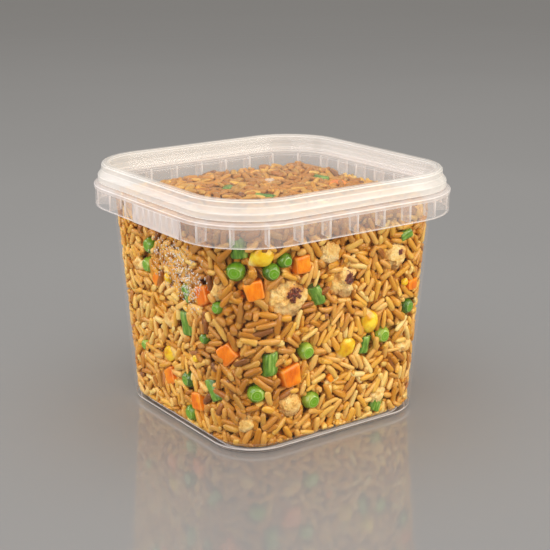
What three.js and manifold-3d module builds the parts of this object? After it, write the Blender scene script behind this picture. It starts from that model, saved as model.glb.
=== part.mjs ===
// A square takeaway tub of clear plastic with its clip-on lid, packed full of chicken fried rice.
// Millimetres, +Z up. The origin is the middle of the base, on the surface that the tub stands on.
//
// Every level of the pack is a ring: a square with wide round corners. The tub and the lid are each
// one thin skin, made by carrying a profile of [half width, height] round that ring. The rice is one
// solid whose surface is laid with grain-sized ridges, and each pea, bean, kernel, carrot dice and
// chicken chunk is a solid of its own that sits in a socket cut from the rice.
import * as THREE from "three";
import { mergeVertices } from "three/addons/utils/BufferGeometryUtils.js";
import Module from "manifold-3d";

const wasm = await Module();
wasm.setup();

// Driving dimensions
const packHeight = 100;
const collarHalf = 59; // half the width over the bead of the tub's collar, the widest part
const collarTop = 92.2;
const skirtBottom = 83.2;
const bodyTopHalf = 51.4; // the body just below the skirt
const bodyTopUp = 84;
const bodyBaseHalf = 45.95;
const skin = 0.8; // thickness of the plastic
const fitGap = 0.35; // air between pieces that touch
const straightAtBase = 27.5; // half the straight stretch of a ring's side, at the base
const straightAtTop = 29.8; // and from the collar up
const cornerSteps = 6; // flat steps round each corner of the plastic
const ribCount = 32; // ribs between the body and the skirt
const panelUp = 93; // the lid's sunken panel
const footRise = 0.8; // how far the base is raised inside its foot ring
const floorTop = 1.8;
const foodUp = 87; // the rice is heaped to here, with some air left under the lid

// Seeded random numbers from 0 to 1
function randomFrom(seed) {
  let state = seed;
  return () => {
    state = (state + 0x6d2b79f5) | 0;
    let t = Math.imul(state ^ (state >>> 15), 1 | state);
    t = (t + Math.imul(t ^ (t >>> 7), 61 | t)) ^ t;
    return ((t ^ (t >>> 14)) >>> 0) / 4294967296;
  };
}

// Solids and meshes
function solidOf(geometry) {
  const bare = geometry.clone();
  bare.deleteAttribute("normal");
  bare.deleteAttribute("uv");
  const merged = mergeVertices(bare, 1e-4);
  return new wasm.Manifold(
    new wasm.Mesh({
      numProp: 3,
      vertProperties: merged.attributes.position.array,
      triVerts: new Uint32Array(merged.index.array),
    }),
  );
}

function geometryOf(solid) {
  const { vertProperties, triVerts } = solid.getMesh();
  const geometry = new THREE.BufferGeometry();
  geometry.setAttribute("position", new THREE.BufferAttribute(vertProperties, 3));
  geometry.setIndex(new THREE.BufferAttribute(triVerts, 1));
  geometry.computeVertexNormals();
  return geometry;
}

function geometryFrom(points, triangles) {
  const geometry = new THREE.BufferGeometry();
  const flat = points.flatMap((point) => point.toArray());
  geometry.setAttribute("position", new THREE.Float32BufferAttribute(flat, 3));
  geometry.setIndex(triangles.flat());
  return geometry;
}

// Rings
function straightAt(up) {
  return THREE.MathUtils.mapLinear(
    THREE.MathUtils.clamp(up, 0, bodyTopUp),
    0,
    bodyTopUp,
    straightAtBase,
    straightAtTop,
  );
}

function ringLength(half, up) {
  const straight = straightAt(up);
  return 8 * straight + 2 * Math.PI * (half - straight);
}

// A point of a ring and the direction straight out of it. along is the distance round the ring,
// clockwise as seen from above, from the middle of the side that faces -Y.
function ringFrame(half, up, along) {
  const straight = straightAt(up);
  const radius = half - straight;
  const quarter = ringLength(half, up) / 4;
  const side = Math.round(along / quarter);
  const offset = along - side * quarter;
  const beyond = Math.max(0, Math.abs(offset) - straight);
  const angle = (Math.sign(offset) * beyond) / radius;
  const local = new THREE.Vector3(
    -Math.sign(offset) * Math.min(Math.abs(offset), straight) - radius * Math.sin(angle),
    -straight - radius * Math.cos(angle),
    up,
  );
  const turn = (-side * Math.PI) / 2;
  const axis = new THREE.Vector3(0, 0, 1);
  return {
    point: local.applyAxisAngle(axis, turn),
    outward: new THREE.Vector3(-Math.sin(angle), -Math.cos(angle), 0).applyAxisAngle(axis, turn),
  };
}

// The corners of a ring, anticlockwise as seen from above
function ringPoints(half, up) {
  const straight = straightAt(up);
  const radius = half - straight;
  const points = [];
  for (let corner = 0; corner < 4; corner++) {
    const signX = corner === 0 || corner === 3 ? 1 : -1;
    const signY = corner < 2 ? 1 : -1;
    for (let step = 0; step <= cornerSteps; step++) {
      const angle = ((corner + step / cornerSteps) * Math.PI) / 2;
      points.push(
        new THREE.Vector3(
          signX * straight + radius * Math.cos(angle),
          signY * straight + radius * Math.sin(angle),
          up,
        ),
      );
    }
  }
  return points;
}

// Carries a profile of [half width, height] round the ring. Its first and last points are closed
// with flat caps, and the profile runs out along the underside and back along the upper side.
function sweepRound(profile) {
  const rings = profile.map(([half, up]) => ringPoints(half, up));
  const count = rings[0].length;
  const points = rings.flat();
  const triangles = [];
  for (let ring = 0; ring < rings.length - 1; ring++) {
    for (let i = 0; i < count; i++) {
      const next = (i + 1) % count;
      const [a, b] = [ring * count + i, ring * count + next];
      triangles.push([a, b, b + count], [a, b + count, a + count]);
    }
  }
  const last = rings.length - 1;
  points.push(new THREE.Vector3(0, 0, profile[0][1]), new THREE.Vector3(0, 0, profile[last][1]));
  const [underside, upperside] = [points.length - 2, points.length - 1];
  for (let i = 0; i < count; i++) {
    const next = (i + 1) % count;
    triangles.push([underside, next, i], [upperside, last * count + i, last * count + next]);
  }
  return solidOf(geometryFrom(points, triangles));
}

// A box that stands on a ring, with its width along the ring and its depth straight out of it
function boxOnRing({ half, along, bottom, width, depth, height }) {
  const frame = ringFrame(half, collarTop, along);
  const box = new THREE.BoxGeometry(depth, width, height);
  box.rotateZ(Math.atan2(frame.outward.y, frame.outward.x));
  box.translate(frame.point.x, frame.point.y, bottom + height / 2);
  return solidOf(box);
}

// The tub: body, foot ring, collar with its hanging skirt and ribs, and the tear tab
const skirtHalf = collarHalf - 0.4;
const ledgeUnder = collarTop - 1;
const tab = { from: 77.5, to: 112, ridges: 7 };

function makeTub() {
  const skirtInside = skirtHalf - skin;
  const rimHalf = 52.9;
  const rimTop = 94.6;
  const profile = [
    [40.5, footRise],
    [41.3, 0],
    [44.2, 0],
    [bodyBaseHalf, 1.8],
    [bodyTopHalf, bodyTopUp],
    [bodyTopHalf + 0.35, ledgeUnder],
    [skirtInside, ledgeUnder],
    [skirtInside, skirtBottom],
    [skirtHalf, skirtBottom],
    [skirtHalf, 90],
    [collarHalf, 90.4],
    [collarHalf, 91.7],
    [collarHalf - 1.1, collarTop],
    [rimHalf, collarTop],
    [rimHalf, rimTop],
    [rimHalf - skin, rimTop],
    [rimHalf - skin - 0.1, collarTop + 0.4],
    [bodyTopHalf - skin + 0.35, ledgeUnder - 0.6],
    [bodyTopHalf - skin, bodyTopUp],
    [bodyBaseHalf - skin, floorTop + 1.7],
    [bodyBaseHalf - skin - 2.2, floorTop],
  ];
  let tub = sweepRound(profile);

  const ribDepth = skirtInside - bodyTopHalf + 0.5;
  const ribBottom = skirtBottom + 0.4;
  for (let rib = 0; rib < ribCount; rib++) {
    const turn = (rib + 0.1) / ribCount;
    const along = turn * ringLength(collarHalf, collarTop);
    if (along > tab.from - 2 && along < tab.to + 2) continue;
    const half = skirtInside + 0.2 - ribDepth / 2;
    tub = tub.add(
      boxOnRing({
        half,
        along: turn * ringLength(half, collarTop),
        bottom: ribBottom,
        width: skin,
        depth: ribDepth,
        height: ledgeUnder + 0.3 - ribBottom,
      }),
    );
  }

  const tabHeight = collarTop - 0.6 - skirtBottom;
  const panelProud = 0.2;
  tub = tub.add(
    boxOnRing({
      half: skirtHalf,
      along: (tab.from + tab.to) / 2,
      bottom: skirtBottom,
      width: tab.to - tab.from,
      depth: 2 * panelProud,
      height: tabHeight,
    }),
  );
  const ridgePitch = (tab.to - tab.from) / (tab.ridges + 1);
  for (let ridge = 1; ridge <= tab.ridges; ridge++) {
    tub = tub.add(
      boxOnRing({
        half: skirtHalf,
        along: tab.from + ridge * ridgePitch,
        bottom: skirtBottom + 1.6,
        width: 1,
        depth: 2 * (collarHalf - skirtHalf),
        height: tabHeight - 3.2,
      }),
    );
  }
  for (const end of [tab.from, tab.to]) {
    tub = tub.subtract(
      boxOnRing({
        half: skirtHalf,
        along: end,
        bottom: skirtBottom - 1,
        width: 0.7,
        depth: 2.4,
        height: ledgeUnder - 0.8 - skirtBottom + 1,
      }),
    );
  }
  return tub;
}

// The lid: sunken panel, stepped wall of the recess, hollow rim and the flange over the tub's rim
function makeLid() {
  const flangeHalf = 57.3;
  const flangeBottom = collarTop + 0.5;
  const rimOuter = 55.75;
  const rimInner = 52.4;
  const profile = [
    [50.3, panelUp - skin],
    [51.2, panelUp + 0.2],
    [51.65, 94.7],
    [52.3, 97.3],
    [rimInner + 0.9, packHeight - skin],
    [rimOuter - 1.1, packHeight - skin],
    [rimOuter - skin, 97.7],
    [flangeHalf - skin - 0.1, 95.3],
    [flangeHalf - skin - 0.1, flangeBottom],
    [flangeHalf, flangeBottom],
    [flangeHalf, 95.2],
    [rimOuter, 97.3],
    [rimOuter, packHeight - 0.7],
    [rimOuter - 0.7, packHeight],
    [rimInner + 0.6, packHeight],
    [rimInner, packHeight - 0.6],
    [rimInner - 0.8, 97.5],
    [50.9, 94.9],
    [50.3, panelUp + 0.4],
    [49.8, panelUp],
  ];
  const gateMark = new THREE.CylinderGeometry(1.5, 1.8, 0.6, 8);
  gateMark.rotateX(Math.PI / 2);
  gateMark.translate(0, 0, panelUp + 0.2);
  return sweepRound(profile).add(solidOf(gateMark));
}

// The room that the food fills, as [height, half width]
const wallGap = fitGap + 0.1; // the plastic's corners have flat steps, which come a little closer
const foodBottom = floorTop + fitGap;
const foodShape = [
  [foodBottom, 43.2],
  [floorTop + 2.1, bodyBaseHalf - skin - wallGap],
  [bodyTopUp, bodyTopHalf - skin - wallGap],
  [foodUp, bodyTopHalf - skin - wallGap],
];

function foodHalf(up) {
  for (let i = 1; i < foodShape.length; i++) {
    const [[upA, halfA], [upB, halfB]] = [foodShape[i - 1], foodShape[i]];
    if (up <= upB) return THREE.MathUtils.mapLinear(Math.max(up, upA), upA, upB, halfA, halfB);
  }
  return foodShape.at(-1)[1];
}

// How far the heaped top rises above or falls below its usual height
function swellAt(x, y) {
  const broad = Math.sin(0.09 * x + 1.1) * Math.cos(0.11 * y - 0.4);
  const slanting = Math.sin(0.17 * y - 0.12 * x);
  return 0.9 * broad + 0.6 * slanting;
}

// The rice. Its surface is laid like parquet: square blocks of three grains each, every block turned
// one way or the other, with a ridge down each grain and a furrow round it.
const grainsPerBlock = 3;
const blocksPerSide = 7; // along one side of the tub, from corner to corner
const blockRows = 7;
const cutTolerance = 0.2; // how far a socket's edge may be straightened
const furrowDepth = 1.4; // from a grain's back down to the gap beside it
const sideSteps = blocksPerSide * grainsPerBlock;
const roundSteps = 4 * sideSteps;
const rowSteps = blockRows * grainsPerBlock;

function makeRiceBed() {
  const random = randomFrom(19);
  const points = [];
  const indexOf = new Map();
  const triangles = [];

  function sidePoint(a, b, depth) {
    const atTop = b >= rowSteps;
    const sunk = atTop ? depth * Math.SQRT1_2 : depth;
    const up = THREE.MathUtils.lerp(foodBottom, foodUp, b / rowSteps);
    const half = foodHalf(up) - sunk;
    const along = (a / roundSteps - 1 / 8) * ringLength(half, up);
    const { point } = ringFrame(half, up, along);
    point.z += (b / rowSteps) ** 8 * swellAt(point.x, point.y) - (atTop ? sunk : 0);
    return point;
  }

  // The upper face is the top ring drawn in towards its middle
  function topPoint(i, j, depth) {
    const [u, v] = [(2 * i) / sideSteps - 1, (2 * j) / sideSteps - 1];
    const reach = Math.max(Math.abs(u), Math.abs(v), 1e-9);
    const facesY = Math.abs(v) >= Math.abs(u);
    const [front, back] = facesY ? [0, 2] : [1, 3];
    const nearer = (facesY ? v : u) < 0;
    const across = (facesY ? -u : v) / reach;
    const sides = nearer ? front + across / 2 : back - across / 2;
    const half = foodHalf(foodUp);
    const { point } = ringFrame(half, foodUp, (sides * ringLength(half, foodUp)) / 4);
    point.multiplyScalar(reach);
    return point.setZ(foodUp + swellAt(point.x, point.y) - depth);
  }

  function edgeStep(i, j) {
    if (j === 0) return sideSteps - i;
    if (i === 0) return sideSteps + j;
    if (j === sideSteps) return 2 * sideSteps + i;
    return 4 * sideSteps - j;
  }

  // A furrow's crossing on the side (a round, b up) or on the top (i, j), shifted a little
  function crossing(face, i, j) {
    const onEdge = face === "top" && (i % sideSteps === 0 || j % sideSteps === 0);
    const onSide = face === "side" || onEdge;
    const a = onEdge ? edgeStep(i, j) % roundSteps : i % roundSteps;
    const b = onEdge ? rowSteps : j;
    const key = onSide ? `side ${a} ${b}` : `top ${i} ${j}`;
    if (!indexOf.has(key)) {
      const [shiftA, shiftB, shiftDepth] = [0, 0, 0].map(() => random() - 0.5);
      const depth = furrowDepth * (1 + 0.5 * shiftDepth);
      const steady = b === 0 || b === rowSteps;
      indexOf.set(key, points.length);
      points.push(
        onSide
          ? sidePoint(a + 0.5 * shiftA, steady ? b : b + 0.5 * shiftB, depth)
          : topPoint(i + 0.5 * shiftA, j + 0.5 * shiftB, depth),
      );
    }
    return indexOf.get(key);
  }

  function grainEnd(face, i, j) {
    const depth = 0.45 * random();
    points.push(face === "side" ? sidePoint(i, j, depth) : topPoint(i, j, depth));
    return points.length - 1;
  }

  function layBlock(face, blockI, blockJ) {
    const n = grainsPerBlock;
    const turned = random() < 0.5;
    const place = (x, y) =>
      turned ? [blockI * n + y, blockJ * n + x] : [blockI * n + x, blockJ * n + y];
    const flipped = turned !== (face === "side");
    const lay = (...corners) => triangles.push(flipped ? corners.toReversed() : corners);
    const low = (x, y) => crossing(face, ...place(x, y));
    for (let k = 0; k < n; k++) {
      const slant = 0.3 * (random() - 0.5);
      const start = grainEnd(face, ...place(0.4 + 0.2 * random(), k + 0.5 - slant));
      const end = grainEnd(face, ...place(n - 0.4 - 0.2 * random(), k + 0.5 + slant));
      lay(low(0, k), start, low(0, k + 1));
      lay(low(n, k), low(n, k + 1), end);
      if (k === 0) {
        lay(low(0, 0), low(1, 0), start);
        lay(low(1, 0), end, start);
        lay(low(1, 0), low(2, 0), end);
        lay(low(2, 0), low(n, 0), end);
      } else {
        lay(low(0, k), low(n, k), end);
        lay(low(0, k), end, start);
      }
      if (k === n - 1) {
        lay(low(n, n), low(2, n), end);
        lay(low(2, n), start, end);
        lay(low(2, n), low(1, n), start);
        lay(low(1, n), low(0, n), start);
      } else {
        lay(low(n, k + 1), low(0, k + 1), start);
        lay(low(n, k + 1), start, end);
      }
    }
  }

  for (let row = 0; row < blockRows; row++) {
    for (let column = 0; column < 4 * blocksPerSide; column++) layBlock("side", column, row);
  }
  for (let row = 0; row < blocksPerSide; row++) {
    for (let column = 0; column < blocksPerSide; column++) layBlock("top", column, row);
  }
  points.push(new THREE.Vector3(0, 0, foodBottom));
  const middle = points.length - 1;
  for (let a = 0; a < roundSteps; a++) {
    triangles.push([middle, crossing("side", a, 0), crossing("side", a + 1, 0)]);
  }
  return solidOf(geometryFrom(points, triangles));
}

// The food pieces, each modelled round its own middle with +X out of the tub's side.
// A kind gives the piece and the socket that holds it.
function lumpy(geometry, amount, seed) {
  const random = randomFrom(seed);
  const waves = [0, 1, 2].map(() => [random() * 6, random() * 6, random() * 6]);
  const position = geometry.attributes.position;
  const point = new THREE.Vector3();
  for (let i = 0; i < position.count; i++) {
    point.fromBufferAttribute(position, i);
    const { x, y, z } = point.clone().normalize();
    const swells = waves.map(
      ([p, q, s], k) => Math.sin((k + 2) * x + p) * Math.cos((k + 2) * y + q + s * z),
    );
    const swell = swells.reduce((sum, value) => sum + value) / waves.length;
    point.multiplyScalar(1 + amount * swell);
    position.setXYZ(i, point.x, point.y, point.z);
  }
  return geometry;
}

const icosahedronInner = 0.795; // its inscribed sphere's radius as a share of its own

const kinds = {
  pea: ({ size }) => ({
    piece: new THREE.IcosahedronGeometry(size / 2, 1),
    socket: new THREE.IcosahedronGeometry((size / 2 + fitGap) / icosahedronInner, 0),
  }),
  corn: ({ size, seed }) => {
    const shape = (detail, radius) => {
      const kernel = new THREE.IcosahedronGeometry(radius, detail);
      kernel.scale(0.62, 0.9, 1.1);
      const position = kernel.attributes.position;
      for (let i = 0; i < position.count; i++) {
        const taper = 1 - (0.28 * position.getZ(i)) / radius;
        position.setY(i, position.getY(i) * taper);
      }
      return kernel.rotateX(seed);
    };
    return {
      piece: shape(1, size / 2),
      socket: shape(0, (size / 2 + fitGap) / icosahedronInner),
    };
  },
  carrot: ({ size, seed }) => {
    const dice = (side) => {
      const bevel = 0.1 * side;
      const face = side / 2 - bevel;
      const square = new THREE.Shape([
        new THREE.Vector2(-face, -face * 0.9),
        new THREE.Vector2(face * 0.95, -face),
        new THREE.Vector2(face, face * 0.95),
        new THREE.Vector2(-face * 0.9, face),
      ]);
      const block = new THREE.ExtrudeGeometry(square, {
        depth: side * 0.8 - 2 * bevel,
        bevelThickness: bevel,
        bevelSize: bevel,
        bevelSegments: 1,
      });
      block.translate(0, 0, bevel - side * 0.4);
      return block.rotateY(Math.PI / 2).rotateX(seed);
    };
    const loose = (side) => new THREE.BoxGeometry(side * 0.8, side, side).rotateX(seed);
    return {
      piece: dice(size),
      socket: loose(size + 2.5 * fitGap),
    };
  },
  bean: ({ size, length, seed }) => {
    const rod = (radius, long, sides) =>
      new THREE.CylinderGeometry(radius, radius, long, sides).rotateX(seed);
    return {
      piece: rod(size / 2, length, 8),
      socket: rod((size / 2 + fitGap) / Math.cos(Math.PI / 6), length + 2 * fitGap, 6),
    };
  },
  chicken: ({ size, seed }) => {
    const chunk = (radius) =>
      lumpy(new THREE.IcosahedronGeometry(radius, 1), 0.16, seed).scale(0.7, 1.1, 1);
    return { piece: chunk(size / 2), socket: chunk(size / 2 + 2.2 * fitGap) };
  },
};

// Where the pieces show against the side: along is the distance round the tub, clockwise as seen
// from above, from the middle of the side that faces -Y, and up is the height. turn lays them.
const againstSide = [
  // The two sides that face -Y and -X
  { kind: "pea", size: 7, along: 47, up: 72 },
  { kind: "pea", size: 6.4, along: 32.5, up: 71.5 },
  { kind: "pea", size: 7.2, along: 37, up: 24 },
  { kind: "pea", size: 6.4, along: -21.5, up: 36.5 },
  { kind: "pea", size: 6.4, along: 103, up: 71 },
  { kind: "pea", size: 6.2, along: 104.5, up: 62.5 },
  { kind: "pea", size: 6.4, along: 76, up: 21 },
  { kind: "pea", size: 6.4, along: 74, up: 7 },
  { kind: "pea", size: 6.4, along: 15.6, up: 37.4 },
  { kind: "pea", size: 7, along: 12, up: 16.5 },
  { kind: "pea", size: 6.2, along: -34, up: 46 },
  { kind: "bean", size: 6, length: 8, along: 46.5, up: 81, turn: 1.7 },
  { kind: "bean", size: 6.4, length: 9, along: 31.5, up: 35.5, turn: Math.PI / 2 },
  { kind: "bean", size: 6, length: 7, along: -12.5, up: 34, turn: 1.4 },
  { kind: "bean", size: 6, length: 8, along: 11.5, up: 59, turn: 2 },
  { kind: "bean", size: 6, length: 9.5, along: 76.5, up: 45, turn: 1.7 },
  { kind: "bean", size: 6, length: 9, along: 58.5, up: 22, turn: 2.2 },
  { kind: "corn", size: 8.4, along: 37.2, up: 77.2, turn: 2.2 },
  { kind: "corn", size: 9, along: -14, up: 44, turn: 0.4 },
  { kind: "corn", size: 8.4, along: -3, up: 34.5, turn: 2.4 },
  { kind: "corn", size: 7.4, along: 89.5, up: 28, turn: 1.8 },
  { kind: "carrot", size: 7.2, along: 39.5, up: 65, turn: 0.25 },
  { kind: "carrot", size: 6.8, along: 19.5, up: 72.5, turn: 0.1 },
  { kind: "carrot", size: 8.4, along: 22.5, up: 29, turn: 0.2 },
  { kind: "carrot", size: 7.4, along: 50, up: 39.5, turn: 0.7 },
  { kind: "carrot", size: 7.4, along: 64, up: 60, turn: 0.4 },
  { kind: "carrot", size: 6.8, along: 89, up: 18.5, turn: 0.5 },
  { kind: "carrot", size: 7.2, along: 69, up: 14, turn: 0.2 },
  { kind: "chicken", size: 15.5, along: 24, up: 60.5, turn: 0.2 },
  { kind: "chicken", size: 12, along: -0.5, up: 62, turn: 1.1 },
  { kind: "chicken", size: 11, along: -25, up: 68, turn: 0.8 },
  { kind: "chicken", size: 8.6, along: 6.5, up: 75, turn: 2.6 },
  { kind: "chicken", size: 9, along: 22, up: 17.5, turn: 1.9 },
  // The two sides that face +Y and +X
  { kind: "pea", size: 7, along: 150, up: 58 },
  { kind: "pea", size: 6.6, along: 196, up: 24 },
  { kind: "bean", size: 6, length: 9, along: 178, up: 68, turn: 1.1 },
  { kind: "corn", size: 8.6, along: -92, up: 48, turn: 0.9 },
  { kind: "carrot", size: 7.6, along: 166, up: 33, turn: 0.6 },
  { kind: "carrot", size: 7.4, along: -118, up: 22, turn: 0.3 },
  { kind: "chicken", size: 13, along: -146, up: 52, turn: 0.7 },
];

// Pieces that lie flat under the lid's panel, by where they are and how far they are turned
const underLid = [
  { kind: "bean", size: 5.6, length: 9, x: -2, y: 1, turn: 0.5 },
  { kind: "bean", size: 5.6, length: 8, x: -1, y: 29, turn: 2.4 },
  { kind: "bean", size: 5.6, length: 10, x: 41, y: 20, turn: 0.2 },
  { kind: "carrot", size: 7.4, x: 40, y: 7, turn: 0.9 },
];

// Half the width of the ring that passes through a point
function halfOf({ x, y, z }) {
  const straight = straightAt(z);
  const [beyondX, beyondY] = [Math.abs(x) - straight, Math.abs(y) - straight];
  if (beyondX > 0 && beyondY > 0) return straight + Math.hypot(beyondX, beyondY);
  return straight + Math.max(beyondX, beyondY);
}

function furthest(geometry, placement, reachOf) {
  const position = geometry.attributes.position;
  const point = new THREE.Vector3();
  let most = -Infinity;
  for (let i = 0; i < position.count; i++) {
    most = Math.max(most, reachOf(point.fromBufferAttribute(position, i).applyMatrix4(placement)));
  }
  return most;
}

// Both placements push the piece in until its outermost point just reaches the food's surface
function placeAgainstSide(piece, { along, up }) {
  const { point, outward } = ringFrame(foodHalf(up), up, along);
  const lean = Math.atan((bodyTopHalf - bodyBaseHalf) / bodyTopUp);
  const placement = new THREE.Matrix4()
    .makeTranslation(point)
    .multiply(new THREE.Matrix4().makeRotationZ(Math.atan2(outward.y, outward.x)))
    .multiply(new THREE.Matrix4().makeRotationY(lean));
  const proud = furthest(piece, placement, (spot) => halfOf(spot) - foodHalf(spot.z));
  return placement.premultiply(
    new THREE.Matrix4().makeTranslation(outward.multiplyScalar(-proud)),
  );
}

function placeUnderLid(piece, { x, y }) {
  const placement = new THREE.Matrix4()
    .makeTranslation(x, y, foodUp)
    .multiply(new THREE.Matrix4().makeRotationY(-Math.PI / 2));
  const proud = furthest(piece, placement, (spot) => spot.z - foodUp - swellAt(spot.x, spot.y));
  return placement.premultiply(new THREE.Matrix4().makeTranslation(0, 0, -proud));
}

const colours = {
  tub: 0xdfe3e6,
  lid: 0xe9ebee,
  rice: 0xc48a45,
  pea: 0x4f8a24,
  bean: 0x3f6f3a,
  corn: 0xe6b11e,
  carrot: 0xd9641a,
  chicken: 0xd9a877,
};

function materialOf(kind) {
  const clear = kind === "tub" || kind === "lid";
  return new THREE.MeshStandardMaterial({
    color: colours[kind],
    roughness: clear ? 0.15 : 0.45,
    metalness: 0,
    transparent: clear,
    opacity: clear ? 0.35 : 1,
  });
}

// Assembly
const pack = new THREE.Group();

function addPiece(name, kind, solid) {
  const mesh = new THREE.Mesh(geometryOf(solid), materialOf(kind));
  mesh.name = name;
  pack.add(mesh);
}

addPiece("tub", "tub", makeTub());
addPiece("lid", "lid", makeLid());

let rice = makeRiceBed();
const counts = {};
const placements = [
  ...againstSide.map((spot) => ({ ...spot, place: placeAgainstSide })),
  ...underLid.map((spot) => ({ ...spot, place: placeUnderLid })),
];
for (const spot of placements) {
  counts[spot.kind] = (counts[spot.kind] ?? 0) + 1;
  const { piece, socket } = kinds[spot.kind]({ ...spot, seed: spot.turn ?? 0 });
  const placement = spot.place(piece, spot);
  rice = rice.subtract(solidOf(socket.applyMatrix4(placement)));
  addPiece(`${spot.kind}_${counts[spot.kind]}`, spot.kind, solidOf(piece.applyMatrix4(placement)));
}

// Sockets that meet leave loose crumbs of rice between them, which are dropped
const scraps = rice.asOriginal().simplify(cutTolerance).decompose();
const [largest] = scraps.sort((a, b) => b.volume() - a.volume());
addPiece("rice", "rice", largest);

export default pack;
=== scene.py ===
# %% [markdown]
# A square takeaway tub of clear plastic, shut with its clip-on lid and packed full of chicken
# fried rice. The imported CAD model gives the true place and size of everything. This lesson builds
# what the eye sees round it: fine plastic skins, thousands of grains of rice, and each vegetable.

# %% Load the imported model
import math

import bmesh
import bpy
import numpy as np
from mathutils import Matrix, Vector, noise


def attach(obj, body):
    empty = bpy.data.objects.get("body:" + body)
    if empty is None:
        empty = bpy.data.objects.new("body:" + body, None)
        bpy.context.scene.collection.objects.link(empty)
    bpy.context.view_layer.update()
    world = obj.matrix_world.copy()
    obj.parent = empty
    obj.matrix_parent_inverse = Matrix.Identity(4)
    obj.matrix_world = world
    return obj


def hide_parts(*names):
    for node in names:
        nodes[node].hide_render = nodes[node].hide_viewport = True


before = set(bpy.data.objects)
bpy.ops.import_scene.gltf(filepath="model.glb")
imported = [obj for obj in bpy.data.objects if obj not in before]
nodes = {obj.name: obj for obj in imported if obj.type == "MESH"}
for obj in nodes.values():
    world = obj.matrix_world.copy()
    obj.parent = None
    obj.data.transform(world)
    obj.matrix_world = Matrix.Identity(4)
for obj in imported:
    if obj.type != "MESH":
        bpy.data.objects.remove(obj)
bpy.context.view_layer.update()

print("nodes of the frame:", len(nodes))

# %% [markdown]
# A camera is a place, a direction and a lens. This one was solved from the rings of the base, the
# collar and the lid in the photograph: it stands half a metre away and looks down at 17 degrees.
# The small shift of the lens moves the picture in its frame without changing the perspective.

# %% The camera
MIDDLE = Vector((0, 0, 0.05))
AZIMUTH = math.radians(-34.74)
ELEVATION = math.radians(16.65)
ROLL = math.radians(-0.41)
DISTANCE = 0.5077
LENS_LENGTH, FILM_WIDTH = 81.6, 36
LENS_SHIFT = (0.0085, 0.0158)


def aim_camera():
    flat = math.cos(ELEVATION)
    back = Vector((math.sin(AZIMUTH) * flat, -math.cos(AZIMUTH) * flat, math.sin(ELEVATION)))
    level = Vector((math.cos(AZIMUTH), math.sin(AZIMUTH), 0))
    upright = back.cross(level)
    right = math.cos(ROLL) * level + math.sin(ROLL) * upright
    above = back.cross(right)
    data = bpy.data.cameras.new("camera")
    data.lens = LENS_LENGTH
    data.sensor_width = FILM_WIDTH
    data.shift_x, data.shift_y = LENS_SHIFT
    camera = bpy.data.objects.new("camera", data)
    bpy.context.collection.objects.link(camera)
    axes = Matrix((right, above, back)).transposed()
    camera.matrix_world = Matrix.Translation(MIDDLE + back * DISTANCE) @ axes.to_4x4()
    return camera


bpy.context.scene.camera = aim_camera()
print("camera stands at", [round(value, 4) for value in bpy.context.scene.camera.location])

# %% [markdown]
# Light for clear plastic has two jobs. Broad soft lamps light the food, and their own shapes,
# mirrored in the skins, draw the plastic's edges. A warm lamp stands in front to the right, a
# cooler one to the left and a weak one behind, and a wide one hangs overhead. Standard colour
# keeps the food as saturated as it is, and many transparent bounces let the eye through every wall
# of the plastic.

# %% Lamps and room light
ROOM_COLOUR, ROOM_STRENGTH = (0.90, 0.86, 0.81, 1), 0.27
SKINS_SEEN_THROUGH = 32


def hang_lamp(name, place, size, power, colour):
    data = bpy.data.lights.new(name, "AREA")
    data.shape = "RECTANGLE"
    data.size, data.size_y = size
    data.energy = power
    data.color = colour
    lamp = bpy.data.objects.new(name, data)
    lamp.location = place
    lamp.rotation_euler = (MIDDLE - Vector(place)).to_track_quat("-Z", "Y").to_euler()
    lamp.visible_camera = False
    bpy.context.collection.objects.link(lamp)
    return lamp


hang_lamp("overhead", (-0.15, -0.1, 1.3), (2.5, 2.5), 17.5, (1.0, 0.98, 0.95))
side_lamps = [
    hang_lamp("front_right", (0.75, -1.15, 0.6), (1.4, 1.1), 21.5, (1.0, 0.95, 0.84)),
    hang_lamp("left", (-1.25, -0.35, 0.65), (1.4, 1.1), 15.5, (1.0, 0.97, 0.94)),
    hang_lamp("back_left", (-0.75, 1.1, 0.5), (1.0, 0.7), 6, (0.96, 0.97, 1.0)),
]

world = bpy.data.worlds.new("room")
world.use_nodes = True
glow = world.node_tree.nodes["Background"].inputs
glow["Color"].default_value = ROOM_COLOUR
glow["Strength"].default_value = ROOM_STRENGTH
bpy.context.scene.world = world
bpy.context.scene.view_settings.view_transform = "Standard"
bpy.context.scene.cycles.transparent_max_bounces = SKINS_SEEN_THROUGH
print("lamps:", len(bpy.data.lights))

# %% [markdown]
# A material is a graph of nodes. Written node by node it hides what it computes, so one small
# class wraps a socket and lets Python's own operators add the Math nodes. Any other node comes
# from one method that takes the node's type, its settings, and the values or links of its sockets.


# %% A socket that does arithmetic
class Wire:
    def __init__(self, paint, socket):
        self.paint = paint
        self.socket = socket

    def math(self, operation, *values):
        inputs = dict(enumerate(values))
        return self.paint.node("ShaderNodeMath", {"operation": operation}, inputs)

    def __add__(self, other):
        return self.math("ADD", self, other)

    def __radd__(self, other):
        return self.math("ADD", other, self)

    def __sub__(self, other):
        return self.math("SUBTRACT", self, other)

    def __rsub__(self, other):
        return self.math("SUBTRACT", other, self)

    def __mul__(self, other):
        return self.math("MULTIPLY", self, other)

    def __rmul__(self, other):
        return self.math("MULTIPLY", other, self)

    def __pow__(self, other):
        return self.math("POWER", self, other)

    def clamp(self):
        return self.math("MINIMUM", self.math("MAXIMUM", self, 0.0), 1.0)

    def rise(self, low, high):
        """0 below low, 1 above high, and a smooth slope between."""
        settings = {"interpolation_type": "SMOOTHSTEP"}
        sockets = {"Value": self, "From Min": low, "From Max": high}
        return self.paint.node("ShaderNodeMapRange", settings, sockets)

    def output(self, name):
        return Wire(self.paint, self.socket.node.outputs[name])


print("a wire does arithmetic")


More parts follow.
